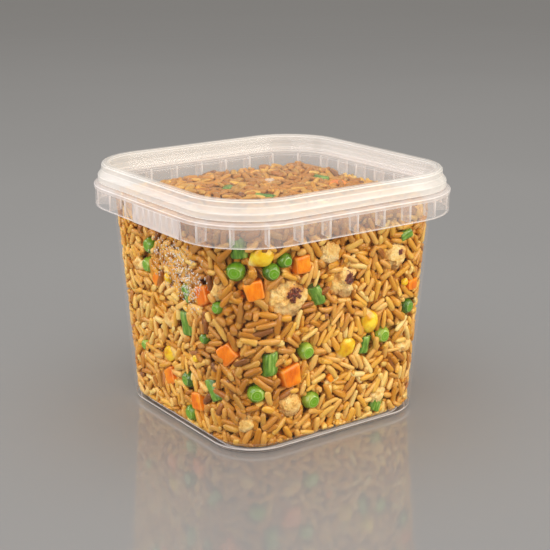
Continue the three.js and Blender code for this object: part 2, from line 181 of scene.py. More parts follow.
# %% The paint of one material
class Paint:
    """The nodes of one material."""

    def __init__(self, name):
        self.material = bpy.data.materials.new(name)
        self.material.use_nodes = True
        self.tree = self.material.node_tree
        self.tree.nodes.clear()

    def node(self, kind, settings=None, sockets=None):
        made = self.tree.nodes.new(kind)
        for name, value in (settings or {}).items():
            if name == "stops":
                self.set_stops(made.color_ramp, value)
            else:
                setattr(made, name, value)
        for key, value in (sockets or {}).items():
            self.feed(self.find(made.inputs, key), value)
        shown = [socket for socket in made.outputs if socket.enabled]
        return Wire(self, shown[0]) if shown else None

    def find(self, inputs, key):
        if isinstance(key, int):
            return inputs[key]
        return next(socket for socket in inputs if socket.name == key and socket.enabled)

    def feed(self, socket, value):
        if isinstance(value, Wire):
            self.tree.links.new(value.socket, socket)
        elif socket.type == "RGBA":
            socket.default_value = (*value, 1)
        else:
            socket.default_value = value

    def set_stops(self, ramp, stops):
        while len(ramp.elements) < len(stops):
            ramp.elements.new(1)
        for element, (place, colour) in zip(ramp.elements, stops):
            element.position = place
            element.color = (*colour, 1)

    def ramp(self, value, stops):
        return self.node("ShaderNodeValToRGB", {"stops": stops}, {"Fac": value})

    def blend(self, mask, under, over):
        settings = {"data_type": "RGBA"}
        return self.node("ShaderNodeMix", settings, {"Factor": mask, "A": under, "B": over})

    def place(self, scale):
        """Object coordinates in metres, stretched by a vector of scales."""
        here = self.node("ShaderNodeTexCoord").output("Object")
        settings = {"operation": "MULTIPLY"}
        return self.node("ShaderNodeVectorMath", settings, {0: here, 1: scale})

    def noise(self, place, scale, detail=2.0):
        sockets = {"Vector": place, "Scale": scale, "Detail": detail}
        return self.node("ShaderNodeTexNoise", {}, sockets)

    def marked(self, name, form="Fac"):
        """A number, or a vector, that the mesh keeps at each of its points."""
        return self.node("ShaderNodeAttribute", {"attribute_name": name}).output(form)

    def bump(self, height, distance):
        sockets = {"Height": height, "Distance": distance, "Strength": 1.0}
        return self.node("ShaderNodeBump", {}, sockets)

    def solid(self, sockets):
        return self.node("ShaderNodeBsdfPrincipled", {}, sockets)

    def mirror(self, roughness, **more):
        sockets = {"Base Color": (1, 1, 1), "Metallic": 1.0, "Roughness": roughness}
        return self.solid({**sockets, **more})

    def mix(self, share, under, over):
        return self.node("ShaderNodeMixShader", {}, {0: share, 1: under, 2: over})

    def grazing(self):
        """0 where the surface faces the eye, 1 where it turns away."""
        return self.node("ShaderNodeLayerWeight", {}, {"Blend": 0.5}).output("Facing")

    def show(self, shader):
        self.node("ShaderNodeOutputMaterial", {}, {"Surface": shader})
        print(self.material.name, "has", len(self.tree.nodes), "nodes")
        return self.material


SAME_SCALE = (1, 1, 1)
print("the paint class is ready")

# %% [markdown]
# The floor is a plain pale sheet, wide enough that no view sees its end. A slight gloss gives the
# soft mirror image that the tub has in the photograph. A very faint cloudiness keeps it from
# looking like a flat fill. Light linking keeps the side lamps off the floor, where their own
# mirror images would glare in a view from behind.


# %% The floor
def floor_finish():
    paint = Paint("floor")
    cloud = paint.noise(paint.place(SAME_SCALE), 3.0)
    shade = paint.ramp(cloud, [(0.3, (0.5, 0.5, 0.505)), (0.7, (0.52, 0.52, 0.525))])
    sockets = {"Base Color": shade, "Roughness": 0.07, "IOR": 1.65}
    return paint.show(paint.solid(sockets))


FLOOR_SIZE, JUST_UNDER = 24, -0.0001

bpy.ops.mesh.primitive_plane_add(size=FLOOR_SIZE, location=(0, 0, JUST_UNDER))
floor = bpy.context.object
floor.name = "floor"
floor.data.materials.append(floor_finish())
unlit = bpy.data.collections.new("not_lit_from_the_sides")
unlit.objects.link(floor)
unlit.collection_objects[0].light_linking.link_state = "EXCLUDE"
for lamp in side_lamps:
    lamp.light_linking.receiver_collection = unlit
print("floor is", round(floor.dimensions.x), "m wide")

# %% [markdown]
# Every level of the pack is a ring: a square with wide round corners. Two functions say all that
# is needed about it: where a point lies that is so far round a ring, with the way straight out,
# and how wide the ring through a given point is. They work in millimetres on whole arrays, because
# the grains are placed by the thousand.

# %% Rings
MM = 0.001
BODY_TOP_UP = 84.0
COLLAR_HALF = 59.0
COLLAR_TOP = 92.2


def straight_at(up):
    return np.interp(up, [0, BODY_TOP_UP], [27.5, 29.8])


def ring_length(half, up):
    straight = straight_at(up)
    return 8 * straight + 2 * math.pi * (half - straight)


def ring_place(half, up, turn):
    """Points on rings, and their directions straight out. turn is the share of the way round, from
    the middle of the side that faces -Y, clockwise as seen from above."""
    half, up, turn = np.broadcast_arrays(*(np.asarray(value, float) for value in (half, up, turn)))
    straight = straight_at(up)
    radius = half - straight
    quarter = ring_length(half, up) / 4
    side = np.round(turn * 4)
    offset = (turn * 4 - side) * quarter
    bent = np.sign(offset) * np.maximum(0, np.abs(offset) - straight) / radius
    across = -np.sign(offset) * np.minimum(np.abs(offset), straight) - radius * np.sin(bent)
    away = -straight - radius * np.cos(bent)
    spin = -side * math.pi / 2
    cos, sin = np.cos(spin), np.sin(spin)
    spot = np.stack([across * cos - away * sin, across * sin + away * cos, up], -1)
    out = np.stack([-np.sin(bent), -np.cos(bent)], -1)
    out_x = out[..., 0] * cos - out[..., 1] * sin
    out_y = out[..., 0] * sin + out[..., 1] * cos
    return spot, np.stack([out_x, out_y, np.zeros_like(out_x)], -1)


def half_of(points):
    """Half the width of the ring that passes through each point."""
    straight = straight_at(points[:, 2])
    beyond = np.abs(points[:, :2]) - straight[:, None]
    corner = np.hypot(*np.maximum(beyond, 0).T)
    return straight + np.where(corner > 0, corner, beyond.max(1))


print("the collar is", round(float(ring_length(COLLAR_HALF, COLLAR_TOP))), "mm round")

# %% [markdown]
# Blender builds a mesh fastest from whole arrays of points and faces. Numbers that belong to a
# point, such as how milky the plastic is there, go along as named attributes, and a material reads
# them back by name. Points are in millimetres here and become metres in the mesh.


# %% A piece from arrays
def new_piece(name, points, faces, material, **marks):
    mesh = bpy.data.meshes.new(name)
    mesh.vertices.add(len(points))
    mesh.vertices.foreach_set("co", (np.asarray(points) * MM).ravel())
    corners = np.concatenate([np.asarray(block).ravel() for block in faces])
    sizes = np.concatenate([np.full(len(block), np.shape(block)[1]) for block in faces])
    mesh.loops.add(len(corners))
    mesh.loops.foreach_set("vertex_index", corners)
    mesh.polygons.add(len(sizes))
    mesh.polygons.foreach_set("loop_start", np.cumsum(sizes) - sizes)
    mesh.update(calc_edges=True)
    mesh.validate()
    mesh.shade_smooth()
    for mark, values in marks.items():
        values = np.asarray(values, float)
        form = "FLOAT_VECTOR" if values.ndim == 2 else "FLOAT"
        data = mesh.attributes.new(mark, form, "POINT").data
        data.foreach_set("vector" if values.ndim == 2 else "value", values.ravel())
    mesh.materials.append(material)
    piece = bpy.data.objects.new(name, mesh)
    bpy.context.collection.objects.link(piece)
    triangles = int((sizes - 2).sum())
    print(f"{name}: {triangles} triangles")
    return piece


print("arrays become pieces")


# %% Shapes that join
class Parts:
    """Collects shapes that become one joined mesh."""

    def __init__(self):
        self.points = []
        self.faces = {3: [], 4: []}
        self.marks = {}
        self.count = 0

    def add(self, points, faces, **marks):
        self.points.append(points)
        for block in faces:
            self.faces[np.shape(block)[1]].append(np.asarray(block) + self.count)
        for mark, values in marks.items():
            shape = (len(points), *np.shape(values)[1:])
            self.marks.setdefault(mark, []).append(np.broadcast_to(values, shape))
        self.count += len(points)

    def piece(self, name, material):
        faces = [np.concatenate(blocks) for blocks in self.faces.values() if blocks]
        marks = {mark: np.concatenate(values) for mark, values in self.marks.items()}
        return new_piece(name, np.concatenate(self.points), faces, material, **marks)


print("shapes join into one mesh")

# %% [markdown]
# The plastic is polypropylene about 0.8 mm thick. It is clear in the body, milky in the collar and
# the rim, and painted milkier along every edge, a painted highlight for the light that gathers
# there. A skin like that is a film: mostly a Transparent shader, with a little milky haze, and a
# mirror that grows towards grazing angles.
# Layer Weight gives that growth the same from both faces of the skin. How milky each point is
# comes from the mesh.


# %% The plastic's finish
def plastic_finish(name, milk_colour, roughness):
    paint = Paint(name)
    place = paint.place(SAME_SCALE)
    cloud = paint.noise(place, 90.0, 3.0)
    fine = paint.noise(place, 420.0)
    grazing = paint.grazing()
    # milk is the plastic's own milkiness, and along edges and corners also a painted highlight
    haze = (paint.marked("milk") * (0.8 + 0.4 * cloud) + 0.6 * grazing**12).clamp()
    ripple = paint.bump(cloud + 0.3 * fine, 0.00002)
    sockets = {"Base Color": milk_colour, "Roughness": roughness, "Normal": ripple}
    sockets["IOR"] = 1.49
    body = paint.mix(haze, paint.node("ShaderNodeBsdfTransparent"), paint.solid(sockets))
    shine = 0.006 + 0.5 * grazing**12
    return paint.show(paint.mix(shine, body, paint.mirror(0.06, Normal=ripple)))


tub_plastic = plastic_finish("tub_plastic", (0.92, 0.86, 0.84), 0.3)
lid_plastic = plastic_finish("lid_plastic", (0.93, 0.90, 0.86), 0.3)

# %% [markdown]
# A moulded skin is a profile carried round a ring. The profile is a closed loop of points with a
# half width, a height and a milkiness, and the ring is cut into short steps so that its corners
# are smooth. Each corner of the profile is rounded a little, with an extra point held close on
# either side, so that the flat faces stay flat when the light is smoothed over them. A sharp
# corner is also painted milkier, a painted highlight: a thin bright line for the light that a real
# moulding gathers there.


# %% Carry a profile round
def rounded(profile, radius, highlight_line):
    """The profile with a small arc at each corner, painted milkier by the last argument where the
    corner is sharp, as a painted highlight.
    """
    profile = np.asarray(profile, float)
    made = []
    for i, corner in enumerate(profile):
        before = profile[i - 1] - corner
        after = profile[(i + 1) % len(profile)] - corner
        lengths = [np.hypot(*arm[:2]) for arm in (before, after)]
        reach = min(radius, 0.32 * min(lengths))
        hold = min(1.8 * reach, 0.45 * min(lengths))
        tips = [corner + arm * reach / length for arm, length in zip((before, after), lengths)]
        holds = [corner + arm * hold / length for arm, length in zip((before, after), lengths)]
        curve = [
            (1 - t) ** 2 * tips[0] + 2 * t * (1 - t) * corner + t**2 * tips[1]
            for t in (0, 0.33, 0.67, 1)
        ]
        straightness = -np.dot(before[:2], after[:2]) / (lengths[0] * lengths[1])
        # painted highlight: the arc of a sharp corner turns milkier, a thin bright line
        for point in curve[1:3]:
            point[2] += highlight_line * min(1, 2 * (1 - straightness))
        made += [holds[0], *curve, holds[1]]
    return np.array(made)


SQUARE = [(0, 0, 0), (1, 0, 0), (1, 1, 0), (0, 1, 0)]
print("a square of 4 points gets", len(rounded(SQUARE, 0.1, 0)), "when rounded")

# %% A profile on a ring
SMALLEST_RING = 31.0


def carry_round(profile, turns, closed_ring):
    """Points and faces of a closed profile carried through the given turns of the collar's ring.
    Near the middle a ring would turn inside out, so there a bigger one is drawn in."""
    spots, outs = ring_place(COLLAR_HALF, COLLAR_TOP, turns)
    centres = spots[:, :2] - outs[:, :2] * (COLLAR_HALF - straight_at(COLLAR_TOP))
    centres /= straight_at(COLLAR_TOP)
    straight = straight_at(profile[:, 1])
    size = np.maximum(profile[:, 0], SMALLEST_RING)
    flat = centres[:, None] * straight[:, None] + outs[:, None, :2] * (size - straight)[:, None]
    flat *= (profile[:, 0] / size)[:, None]
    ups = np.broadcast_to(profile[:, 1][None, :, None], (*flat.shape[:2], 1))
    points = np.concatenate([flat, ups], -1).reshape(-1, 3)
    count, rows = len(profile), len(turns)
    row = np.arange(rows if closed_ring else rows - 1)[:, None]
    column = np.arange(count)[None]
    a = row * count + column
    b = row * count + (column + 1) % count
    c = (row + 1) % rows * count + (column + 1) % count
    d = (row + 1) % rows * count + column
    quads = np.stack([a, b, c, d], -1).reshape(-1, 4)
    milk = np.tile(profile[:, 2], rows)
    return points, quads, milk


print("no ring is drawn smaller than", SMALLEST_RING, "mm")


# %% Steps round the ring
def turns_between(start, stop, step=1.3):
    """Turns of the collar's ring between two distances along it, in millimetres."""
    whole = ring_length(COLLAR_HALF, COLLAR_TOP)
    return np.linspace(start, stop, max(2, round((stop - start) / step) + 1)) / whole


def ring_steps(on_side=6, in_corner=24):
    """Turns all the way round: few on the straight sides, many in the corners."""
    whole = ring_length(COLLAR_HALF, COLLAR_TOP)
    straight = straight_at(COLLAR_TOP)
    corner = whole / 4 - 2 * straight
    side = np.linspace(-straight, straight, on_side)
    bend = straight + np.arange(1, in_corner + 1) / (in_corner + 1) * corner
    steps = np.concatenate([side, bend]) / whole
    return np.concatenate([steps + quarter / 4 for quarter in range(4)])


WHOLE_RING = ring_steps()
print("one ring has", len(WHOLE_RING), "steps")


# %% Faces of tubes
def tube_quads(sides, rows):
    """Faces between rings of points, each ring with so many sides."""
    column = np.arange(sides)
    after = (column + 1) % sides
    one_row = np.stack([column, after, after + sides, column + sides], -1)
    return np.concatenate([one_row + row * sides for row in range(rows - 1)])


def round_angles(sides):
    return np.arange(sides) / sides * 2 * math.pi


def end_cap(count, first):
    """A fan that shuts the end of a carried profile."""
    middle = np.arange(1, count - 1)
    return first + np.stack([np.zeros_like(middle), middle, middle + 1], -1)


def closed_tube(sides, rows):
    caps = [end_cap(sides, 0)[:, ::-1], end_cap(sides, (rows - 1) * sides)]
    return [tube_quads(sides, rows), *caps]


print("a box made as a tube has", len(closed_tube(4, 2)[0]), "sides")

# %% [markdown]
# The tub is one skin: foot ring, floor, leaning walls, a ledge at the top, and the collar that
# hangs from the ledge. The skirt of the collar is carried round separately, because the tear tab
# is cut free by a slit at each end. Its profile is a thin strip with a painted highlight, a bright
# milky line, along its lower edge. Small upright blocks, all from one function, make the ribs
# behind the skirt and the grip ridges of the tab, their edges painted milkier as highlights.

# %% The tub's skin
# the last two milk values are painted highlights: bright lines along the skirt's lower edge and the
# foot ring
CLEAR, FAINT, MILKY, SKIRT_EDGE_HIGHLIGHT, EDGE_HIGHLIGHT = 0.003, 0.03, 0.13, 0.36, 0.85
SKIRT_BOTTOM, LEDGE_UNDER = 83.2, 91.2
SKIRT_HALF = 58.6
SKIN = 0.8
TAB_FROM, TAB_TO, SLIT = 77.5, 112.0, 0.7
TAB_PROUD, TAB_MILK, TAB_MARGIN, TAB_RIDGES = 0.2, 0.45, 2, 7
RIBS, INTO_SKIRT = 32, 0.2
# the edge milkiness of ribs and ridges, and the corner line, are painted highlights along their edges
RIB = {"bottom": 83.6, "top": 91.4, "width": SKIN, "depth": 5.3, "milk": 0.17, "edge": 0.6}
RIDGE = {"bottom": 84.8, "top": 90.0, "width": 1.0, "depth": 0.9, "milk": 0.1, "edge": 0.45}
EDGE_RADIUS, STRIP_RADIUS, CORNER_HIGHLIGHT_LINE = 0.35, 0.2, 0.3

TUB_PROFILE = [
    # half width, height, milkiness
    # the foot ring's brightest points are painted highlights, two bright lines along its edges
    (0.5, 0.8, CLEAR), (39.5, 0.8, CLEAR), (40.5, 0.8, FAINT), (41.3, 0, EDGE_HIGHLIGHT), (41.8, 0, FAINT),
    (43.5, 0, FAINT),
    (43.9, 0, EDGE_HIGHLIGHT), (44.35, 0.15, EDGE_HIGHLIGHT), (44.7, 0.5, FAINT), (45.5, 1.35, FAINT),
    (45.75, 1.6, EDGE_HIGHLIGHT), (45.96, 2.1, EDGE_HIGHLIGHT), (46.0, 2.5, FAINT), (46.1, 4.0, CLEAR),
    (51.3, 82.4, CLEAR), (51.4, 84, FAINT),
    (51.75, LEDGE_UNDER, MILKY), (SKIRT_HALF - SKIN, LEDGE_UNDER, 0.2),
    (SKIRT_HALF - SKIN, 90.2, MILKY), (SKIRT_HALF, 90.1, MILKY), (COLLAR_HALF, 90.5, 0.3),
    (COLLAR_HALF, 91.7, 0.3), (57.9, COLLAR_TOP, 0.36), (52.9, COLLAR_TOP, 0.3),
    (52.9, 94.6, MILKY), (52.1, 94.6, MILKY), (52.0, 92.6, FAINT), (50.95, 90.6, FAINT),
    (50.6, 84, CLEAR), (45.15, 3.5, CLEAR), (42.95, 1.8, FAINT), (0.5, 1.8, CLEAR),
]
# the skirt's lower edge is painted bright as a highlight
SKIRT_PROFILE = [
    (SKIRT_HALF - SKIN, 90.3, MILKY), (SKIRT_HALF - SKIN, 84.0, 0.1),
    (SKIRT_HALF - SKIN, SKIRT_BOTTOM, SKIRT_EDGE_HIGHLIGHT), (SKIRT_HALF, SKIRT_BOTTOM, SKIRT_EDGE_HIGHLIGHT),
    (SKIRT_HALF, 84.0, 0.1), (SKIRT_HALF, 90.3, MILKY),
]


def carried(parts, profile, turns, radius, highlight_line, closed_ring=True):
    profile = rounded(profile, radius, highlight_line)
    points, quads, milk = carry_round(profile, turns, closed_ring)
    faces = [quads]
    if not closed_ring:
        last = (len(turns) - 1) * len(profile)
        faces += [end_cap(len(profile), 0)[:, ::-1], end_cap(len(profile), last)]
    parts.add(points, faces, milk=milk)


print("the tub's profile has", len(TUB_PROFILE), "points")


# %% An upright rib
def standing_box(parts, half, turn, bottom, top, width, depth, milk, edge):
    """A small upright block on a ring, with softened edges painted milkier than its faces, as a painted
    highlight.
    """
    spot, out = ring_place(half, COLLAR_TOP, turn)
    side = np.array([out[1], -out[0], 0])
    near = 1 - 0.6 / depth
    profile = np.array([
        (-0.7, -1, 1), (0.7, -1, 1), (1, -near, 1), (1, -near * 0.85, 0), (1, near * 0.85, 0),
        (1, near, 1), (0.7, 1, 1), (-0.7, 1, 1), (-1, near, 1), (-1, near * 0.85, 0),
        (-1, -near * 0.85, 0), (-1, -near, 1),
    ])
    # painted highlight: the edge points take the brighter edge milkiness
    shades = milk + (edge - milk) * profile[:, 2]
    levels = np.array([bottom, bottom + 0.15, top - 0.15, top])
    shrink = np.array([0.8, 1, 1, 0.8])
    points = []
    for level, size in zip(levels, shrink):
        flat = profile[:, :1] * side * width / 2 * size + profile[:, 1:2] * out * depth / 2 * size
        points.append(spot * (1, 1, 0) + flat + (0, 0, level))
    faces = closed_tube(len(profile), len(levels))
    parts.add(np.concatenate(points), faces, milk=np.tile(shades, len(levels)))


print("places for ribs round the collar:", RIBS)


# %% Build the tub
def build_tub():
    parts = Parts()
    carried(parts, TUB_PROFILE, WHOLE_RING, EDGE_RADIUS, CORNER_HIGHLIGHT_LINE)
    whole = float(ring_length(COLLAR_HALF, COLLAR_TOP))
    free = turns_between(TAB_TO + SLIT / 2, whole + TAB_FROM - SLIT / 2)
    carried(parts, SKIRT_PROFILE, free, STRIP_RADIUS, CORNER_HIGHLIGHT_LINE, closed_ring=False)
    held = turns_between(TAB_FROM + SLIT / 2, TAB_TO - SLIT / 2)
    panel = [
        (half + (TAB_PROUD if half == SKIRT_HALF else 0), up, TAB_MILK) for half, up, _ in SKIRT_PROFILE
    ]
    carried(parts, panel, held, STRIP_RADIUS, CORNER_HIGHLIGHT_LINE, closed_ring=False)
    middle = SKIRT_HALF - SKIN + INTO_SKIRT - RIB["depth"] / 2
    for rib in range(RIBS):
        turn = (rib + 0.1) / RIBS
        if TAB_FROM - TAB_MARGIN < turn * whole < TAB_TO + TAB_MARGIN:
            continue
        standing_box(parts, middle, turn, **RIB)
    pitch = (TAB_TO - TAB_FROM) / (TAB_RIDGES + 1)
    for ridge in range(1, TAB_RIDGES + 1):
        turn = (TAB_FROM + ridge * pitch) / whole
        standing_box(parts, SKIRT_HALF, turn, **RIDGE)
    return parts.piece("tub_skin", tub_plastic)


tub_skin = build_tub()
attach(tub_skin, "root")
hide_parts("tub")

# %% [markdown]
# The lid is a second skin: a flat panel sunk inside a hollow rim, and a flange that hugs the tub's
# own rim. The panel has a small round gate mark, left by the mould. The rim is several thin walls
# close together, and that is what makes it look milky.

# %% The lid's skin
LID_PROFILE = [
    (0.5, 92.2, CLEAR), (49.0, 92.2, CLEAR), (50.3, 92.2, FAINT), (51.2, 93.2, MILKY),
    (51.65, 94.7, MILKY),
    (52.3, 97.3, MILKY), (53.3, 99.2, MILKY), (54.65, 99.2, MILKY), (54.95, 97.7, 0.2),
    (56.4, 95.3, 0.25), (56.4, 92.7, 0.25), (57.3, 92.7, 0.38), (57.3, 95.2, 0.38),
    (55.75, 97.3, 0.32), (55.75, 99.3, 0.3), (55.05, 100, 0.25), (53.0, 100, 0.25),
    (52.4, 99.4, 0.22), (51.6, 97.5, 0.15), (50.9, 94.9, 0.15), (50.3, 93.4, 0.15),
    (49.8, 93, FAINT), (48.8, 93, CLEAR), (0.5, 93, CLEAR),
]
GATE_PROFILE = [(1.85, 93.0), (1.8, 93.1), (1.6, 93.45), (1.45, 93.5), (0.6, 93.42), (0.05, 93.4)]
GATE_SIDES, GATE_MILK = 32, 0.3
# how much milkier the lid's sharp corners are painted, as highlight lines
LID_CORNER_HIGHLIGHT_LINE = 0.45


def build_lid():
    parts = Parts()
    carried(parts, LID_PROFILE, WHOLE_RING, EDGE_RADIUS, LID_CORNER_HIGHLIGHT_LINE)
    angles = round_angles(GATE_SIDES)
    circle = np.stack([np.cos(angles), np.sin(angles), np.zeros(GATE_SIDES)], -1)
    points = np.concatenate([circle * size + (0, 0, up) for size, up in GATE_PROFILE])
    parts.add(points, [tube_quads(GATE_SIDES, len(GATE_PROFILE))], milk=GATE_MILK)
    return parts.piece("lid_skin", lid_plastic)


lid_skin = build_lid()
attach(lid_skin, "root")
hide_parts("lid")

# %% [markdown]
# Soft food pressed against a clear wall goes flat where it touches. That contact is what makes
# packed food look packed, so every piece of food is passed through one function that pushes back
# whatever crosses the wall's inner face and notes by how much. It lets the food reach a hair into
# the wall, so that no gap of air shows.

# %% The wall pushes back
WALL = np.array([(1.75, 42.9), (3.5, 45.15), (84, 50.6), (90.6, 50.95), (92.6, 52.0)])
INTO_WALL = 0.06
FLOOR_TOP = 1.8
FOOD_TOP = 87.0


def wall_half(up):
    return np.interp(up, WALL[:, 0], WALL[:, 1])


def pressed(points):
    """The points held inside the tub, and how far each was pushed back."""
    points = points.copy()
    points[:, 2] = np.maximum(points[:, 2], FLOOR_TOP - INTO_WALL)
    half = half_of(points)
    beyond = np.maximum(0, half - wall_half(points[:, 2]) - INTO_WALL)
    straight = straight_at(points[:, 2])
    radius = np.maximum(half - straight, 1e-6)
    centre = np.clip(points[:, :2], -straight[:, None], straight[:, None])
    outward = points[:, :2] - centre
    points[:, :2] -= outward * (beyond / radius)[:, None]
    return points, beyond


def swell_at(x, y):
    """How far the heaped top lies above or below its usual height."""
    broad = np.sin(0.09 * x + 1.1) * np.cos(0.11 * y - 0.4)
    return 0.9 * broad + 0.6 * np.sin(0.17 * y - 0.12 * x)


print("inner wall at mid height:", round(float(wall_half(42.0)), 2), "mm from the middle")

# %% [markdown]
# The vegetables and the chicken come first, because the rice packs round them. Each one takes its
# place from its own CAD node: its middle, its long axis and the way out to the nearest wall. What
# was too small for a node of its own is listed here by where it shows on the wall.

# %% Where each piece of food lies
QUARTER_DEGREES = 1440
TOP_FROM, TOP_WITHIN = 80, 44


def turn_of(point):
    """The turn of the ring that passes nearest to a point."""
    turns = np.arange(QUARTER_DEGREES) / QUARTER_DEGREES
    spots, _ = ring_place(max(half_of(point[None])[0], 40.0), point[2], turns)
    return turns[np.argmin(np.hypot(*(spots - point)[:, :2].T))]


def seat_of(name):
    """A node's name, points, middle, half size along its own axes, those axes, and the way out."""
    points = np.array([vertex.co for vertex in nodes[name].data.vertices]) / MM
    middle = (points.max(0) + points.min(0)) / 2
    _, _, axes = np.linalg.svd(points - points.mean(0), full_matrices=False)
    reach = np.abs((points - middle) @ axes.T).max(0)
    if middle[2] > TOP_FROM and half_of(middle[None])[0] < TOP_WITHIN:
        out = np.array([0.0, 0.0, 1.0])
    else:
        out = ring_place(48.0, middle[2], turn_of(middle))[1]
    return {
        "name": name, "points": points, "middle": middle, "reach": reach, "axes": axes, "out": out,
    }


def on_wall(along, up, depth):
    """The same facts for a bit without a node, by its distance round the tub and its height."""
    half = wall_half(up)
    spot, out = ring_place(half - depth, up, along / ring_length(half, up))
    side = np.array([out[1], -out[0], 0])
    return spot, out, side, np.array([0, 0, 1.0])


def laid(side, above, turn):
    """A direction on the wall, turned up from the level."""
    return side * math.cos(turn) + above * math.sin(turn)


def kind_of(name):
    return name.split("_")[0]


print("peas with a node:", sum(kind_of(name) == "pea" for name in nodes))

# %% Seats and small bits
# how far each kind is moved out to the wall, in millimetres, and how much it swells
FIT = {
    "pea": (1.15, 1.04), "bean": (0.3, 1.02), "corn": (0.5, 1.05), "carrot": (0.3, 0.94),
    "chicken": (0.3, 1.06),
}
seats = {name: seat_of(name) for name in sorted(nodes) if kind_of(name) in FIT}
by_kind = {kind: [name for name in seats if kind_of(name) == kind] for kind in FIT}
SMALL_BITS = [
    # kind, distance round the tub, height, radius
    ("pea", 28, 75, 2.9), ("pea", 110, 26.5, 2.5), ("pea", 63, 42.5, 2.3), ("pea", 54.5, 57, 2.5),
    ("bean", 75, 58, 2.6), ("bean", -21, 8, 2.7), ("bean", -30, 76, 2.2),
    ("corn", 89, 61, 2.3), ("corn", 69.5, 32.5, 1.7), ("corn", -31, 57, 1.6),
    ("carrot", 97.5, 59, 2.5), ("carrot", -36, 55, 2.8), ("carrot", 4.5, 24, 1.4),
    ("chicken", 113, 61.5, 3.0), ("chicken", -22, 12, 3.6), ("chicken", -35, 29, 3.4),
    ("chicken", 55, 64, 3.0), ("chicken", 90, 44, 3.2), ("chicken", 41, 12, 2.6),
    # on the two sides that the photograph hides
    ("pea", 158, 30, 2.9), ("pea", 186, 48, 2.6), ("pea", 221, 66, 2.8), ("pea", 243, 36, 2.9),
    ("pea", 276, 62, 2.7), ("pea", 290, 22, 2.6), ("pea", 250, 66, 2.4),
    ("bean", 192, 15, 2.5), ("bean", 236, 50, 2.4), ("bean", 284, 42, 2.5), ("bean", 214, 36, 2.2),
    ("corn", 164, 49, 2.5), ("corn", 217, 14, 2.4), ("corn", 247, 14, 2.3), ("corn", 195, 73, 2.4),
    ("carrot", 187, 61, 2.6), ("carrot", 145, 42, 2.7), ("carrot", 268, 30, 2.8),
    ("carrot", 236, 71, 2.6), ("carrot", 297, 66, 2.4), ("carrot", 222, 46, 2.3),
    ("chicken", 160, 14, 3.4), ("chicken", 187, 33, 3.5), ("chicken", 256, 25, 3.6),
    ("chicken", 275, 50, 3.2), ("chicken", 160, 70, 3.0),
]


def seated(kind):
    """Each node of one kind: a number to vary it by, its seat, its middle moved out, its swell."""
    shift, swell = FIT[kind]
    for number, name in enumerate(by_kind[kind], 1):
        seat = seats[name]
        yield number, seat, seat["middle"] + seat["out"] * shift, swell


def small_bits(wanted):
    """The bits of one kind: a number to vary each by, its place round and up the wall, its radius."""
    for index, (kind, along, up, radius) in enumerate(SMALL_BITS):
        if kind == wanted:
            yield index, along, up, radius


print({kind: len(names) for kind, names in by_kind.items()}, "and small bits:", len(SMALL_BITS))

# %% [markdown]
# Balls, kernels and chunks all start as a subdivided icosphere, whose triangles are all alike, so
# that there is no pole to show. The first helper makes one as arrays. The second gives smooth
# random bumps, by Blender's own noise, sampled at each point.


# %% Round templates
def arrays_of(made):
    points = np.array([vertex.co for vertex in made.verts])
    faces = np.array([[vertex.index for vertex in face.verts] for face in made.faces])
    made.free()
    return points, faces


def round_template(level):
    made = bmesh.new()
    bmesh.ops.create_icosphere(made, subdivisions=level, radius=1)
    return arrays_of(made)


def bumps(points, scale, seed, octaves=2):
    shift = Vector((seed * 7.31, seed * 3.17, seed * 5.53))
    return np.array([
        noise.fractal(Vector(point) * scale + shift, 1.0, 2.0, octaves) for point in points
    ])


def unit(vectors):
    return vectors / np.linalg.norm(vectors, axis=-1, keepdims=True)


BALL_POINTS, BALL_FACES = round_template(4)
FINE = round_template(5)
FINEST = round_template(6)
print("triangles of the balls:", len(BALL_FACES), len(FINE[1]), len(FINEST[1]))

# %% [markdown]
# A cooked pea is a ball with a few soft dents and a slightly wrinkled skin. Pressed to the wall it
# shows a flat disc of vivid green, with a pale rim, a painted highlight, where the skin lets go of
# the plastic, and darker sides. The amount of press, kept at each point, paints all three.


# %% Peas
def soft(weight, reach, scale):
    """Sockets for flesh that light soaks into, by colour and by depth in metres."""
    return {"Subsurface Weight": weight, "Subsurface Radius": reach, "Subsurface Scale": scale}


def pea_finish():
    paint = Paint("pea_skin")
    place = paint.place(SAME_SCALE)
    patch = paint.noise(place, 240.0)
    wrinkle = paint.noise(place, 900.0, 3.0)
    press = paint.marked("press")
    each = paint.marked("each")
    skin = paint.ramp(
        (0.55 * patch + 0.45 * each).clamp(),
        [(0.25, (0.04, 0.13, 0.004)), (0.52, (0.15, 0.32, 0.012)), (0.75, (0.40, 0.53, 0.06))],
    )
    disc = paint.blend(press.rise(0.05, 0.25) * 0.8, skin, (0.14, 0.36, 0.002))
    # painted highlight: a pale ring where the skin leaves the plastic, and a fainter ring inside the
    # disc
    rim = press.rise(0.0, 0.05) * (1 - press.rise(0.05, 0.2))
    rim = rim + 0.6 * press.rise(0.42, 0.48) * (1 - press.rise(0.48, 0.56))
    colour = paint.blend(rim * 0.6, disc, (0.50, 0.62, 0.22))
    sockets = {"Base Color": colour, "Roughness": 0.15 + 0.2 * patch, "Coat Weight": 0.3}
    sockets["Coat Roughness"] = 0.08
    sockets["Normal"] = paint.bump(wrinkle, 0.00018)
    sockets |= soft(0.15, (0.6, 1.0, 0.3), 0.0008)
    return paint.show(paint.solid(sockets))


pea_skin = pea_finish()


# %% Build the peas
def add_pea(parts, middle, radius, seed):
    dents = bumps(BALL_POINTS, 1.1, seed)
    wrinkles = bumps(BALL_POINTS, 3.2, seed + 0.5)
    ball = BALL_POINTS * (1 + 0.06 * dents + 0.02 * wrinkles)[:, None] * radius
    points, press = pressed(ball + middle)
    parts.add(points, [BALL_FACES], press=press, each=seed * 0.37 % 1)


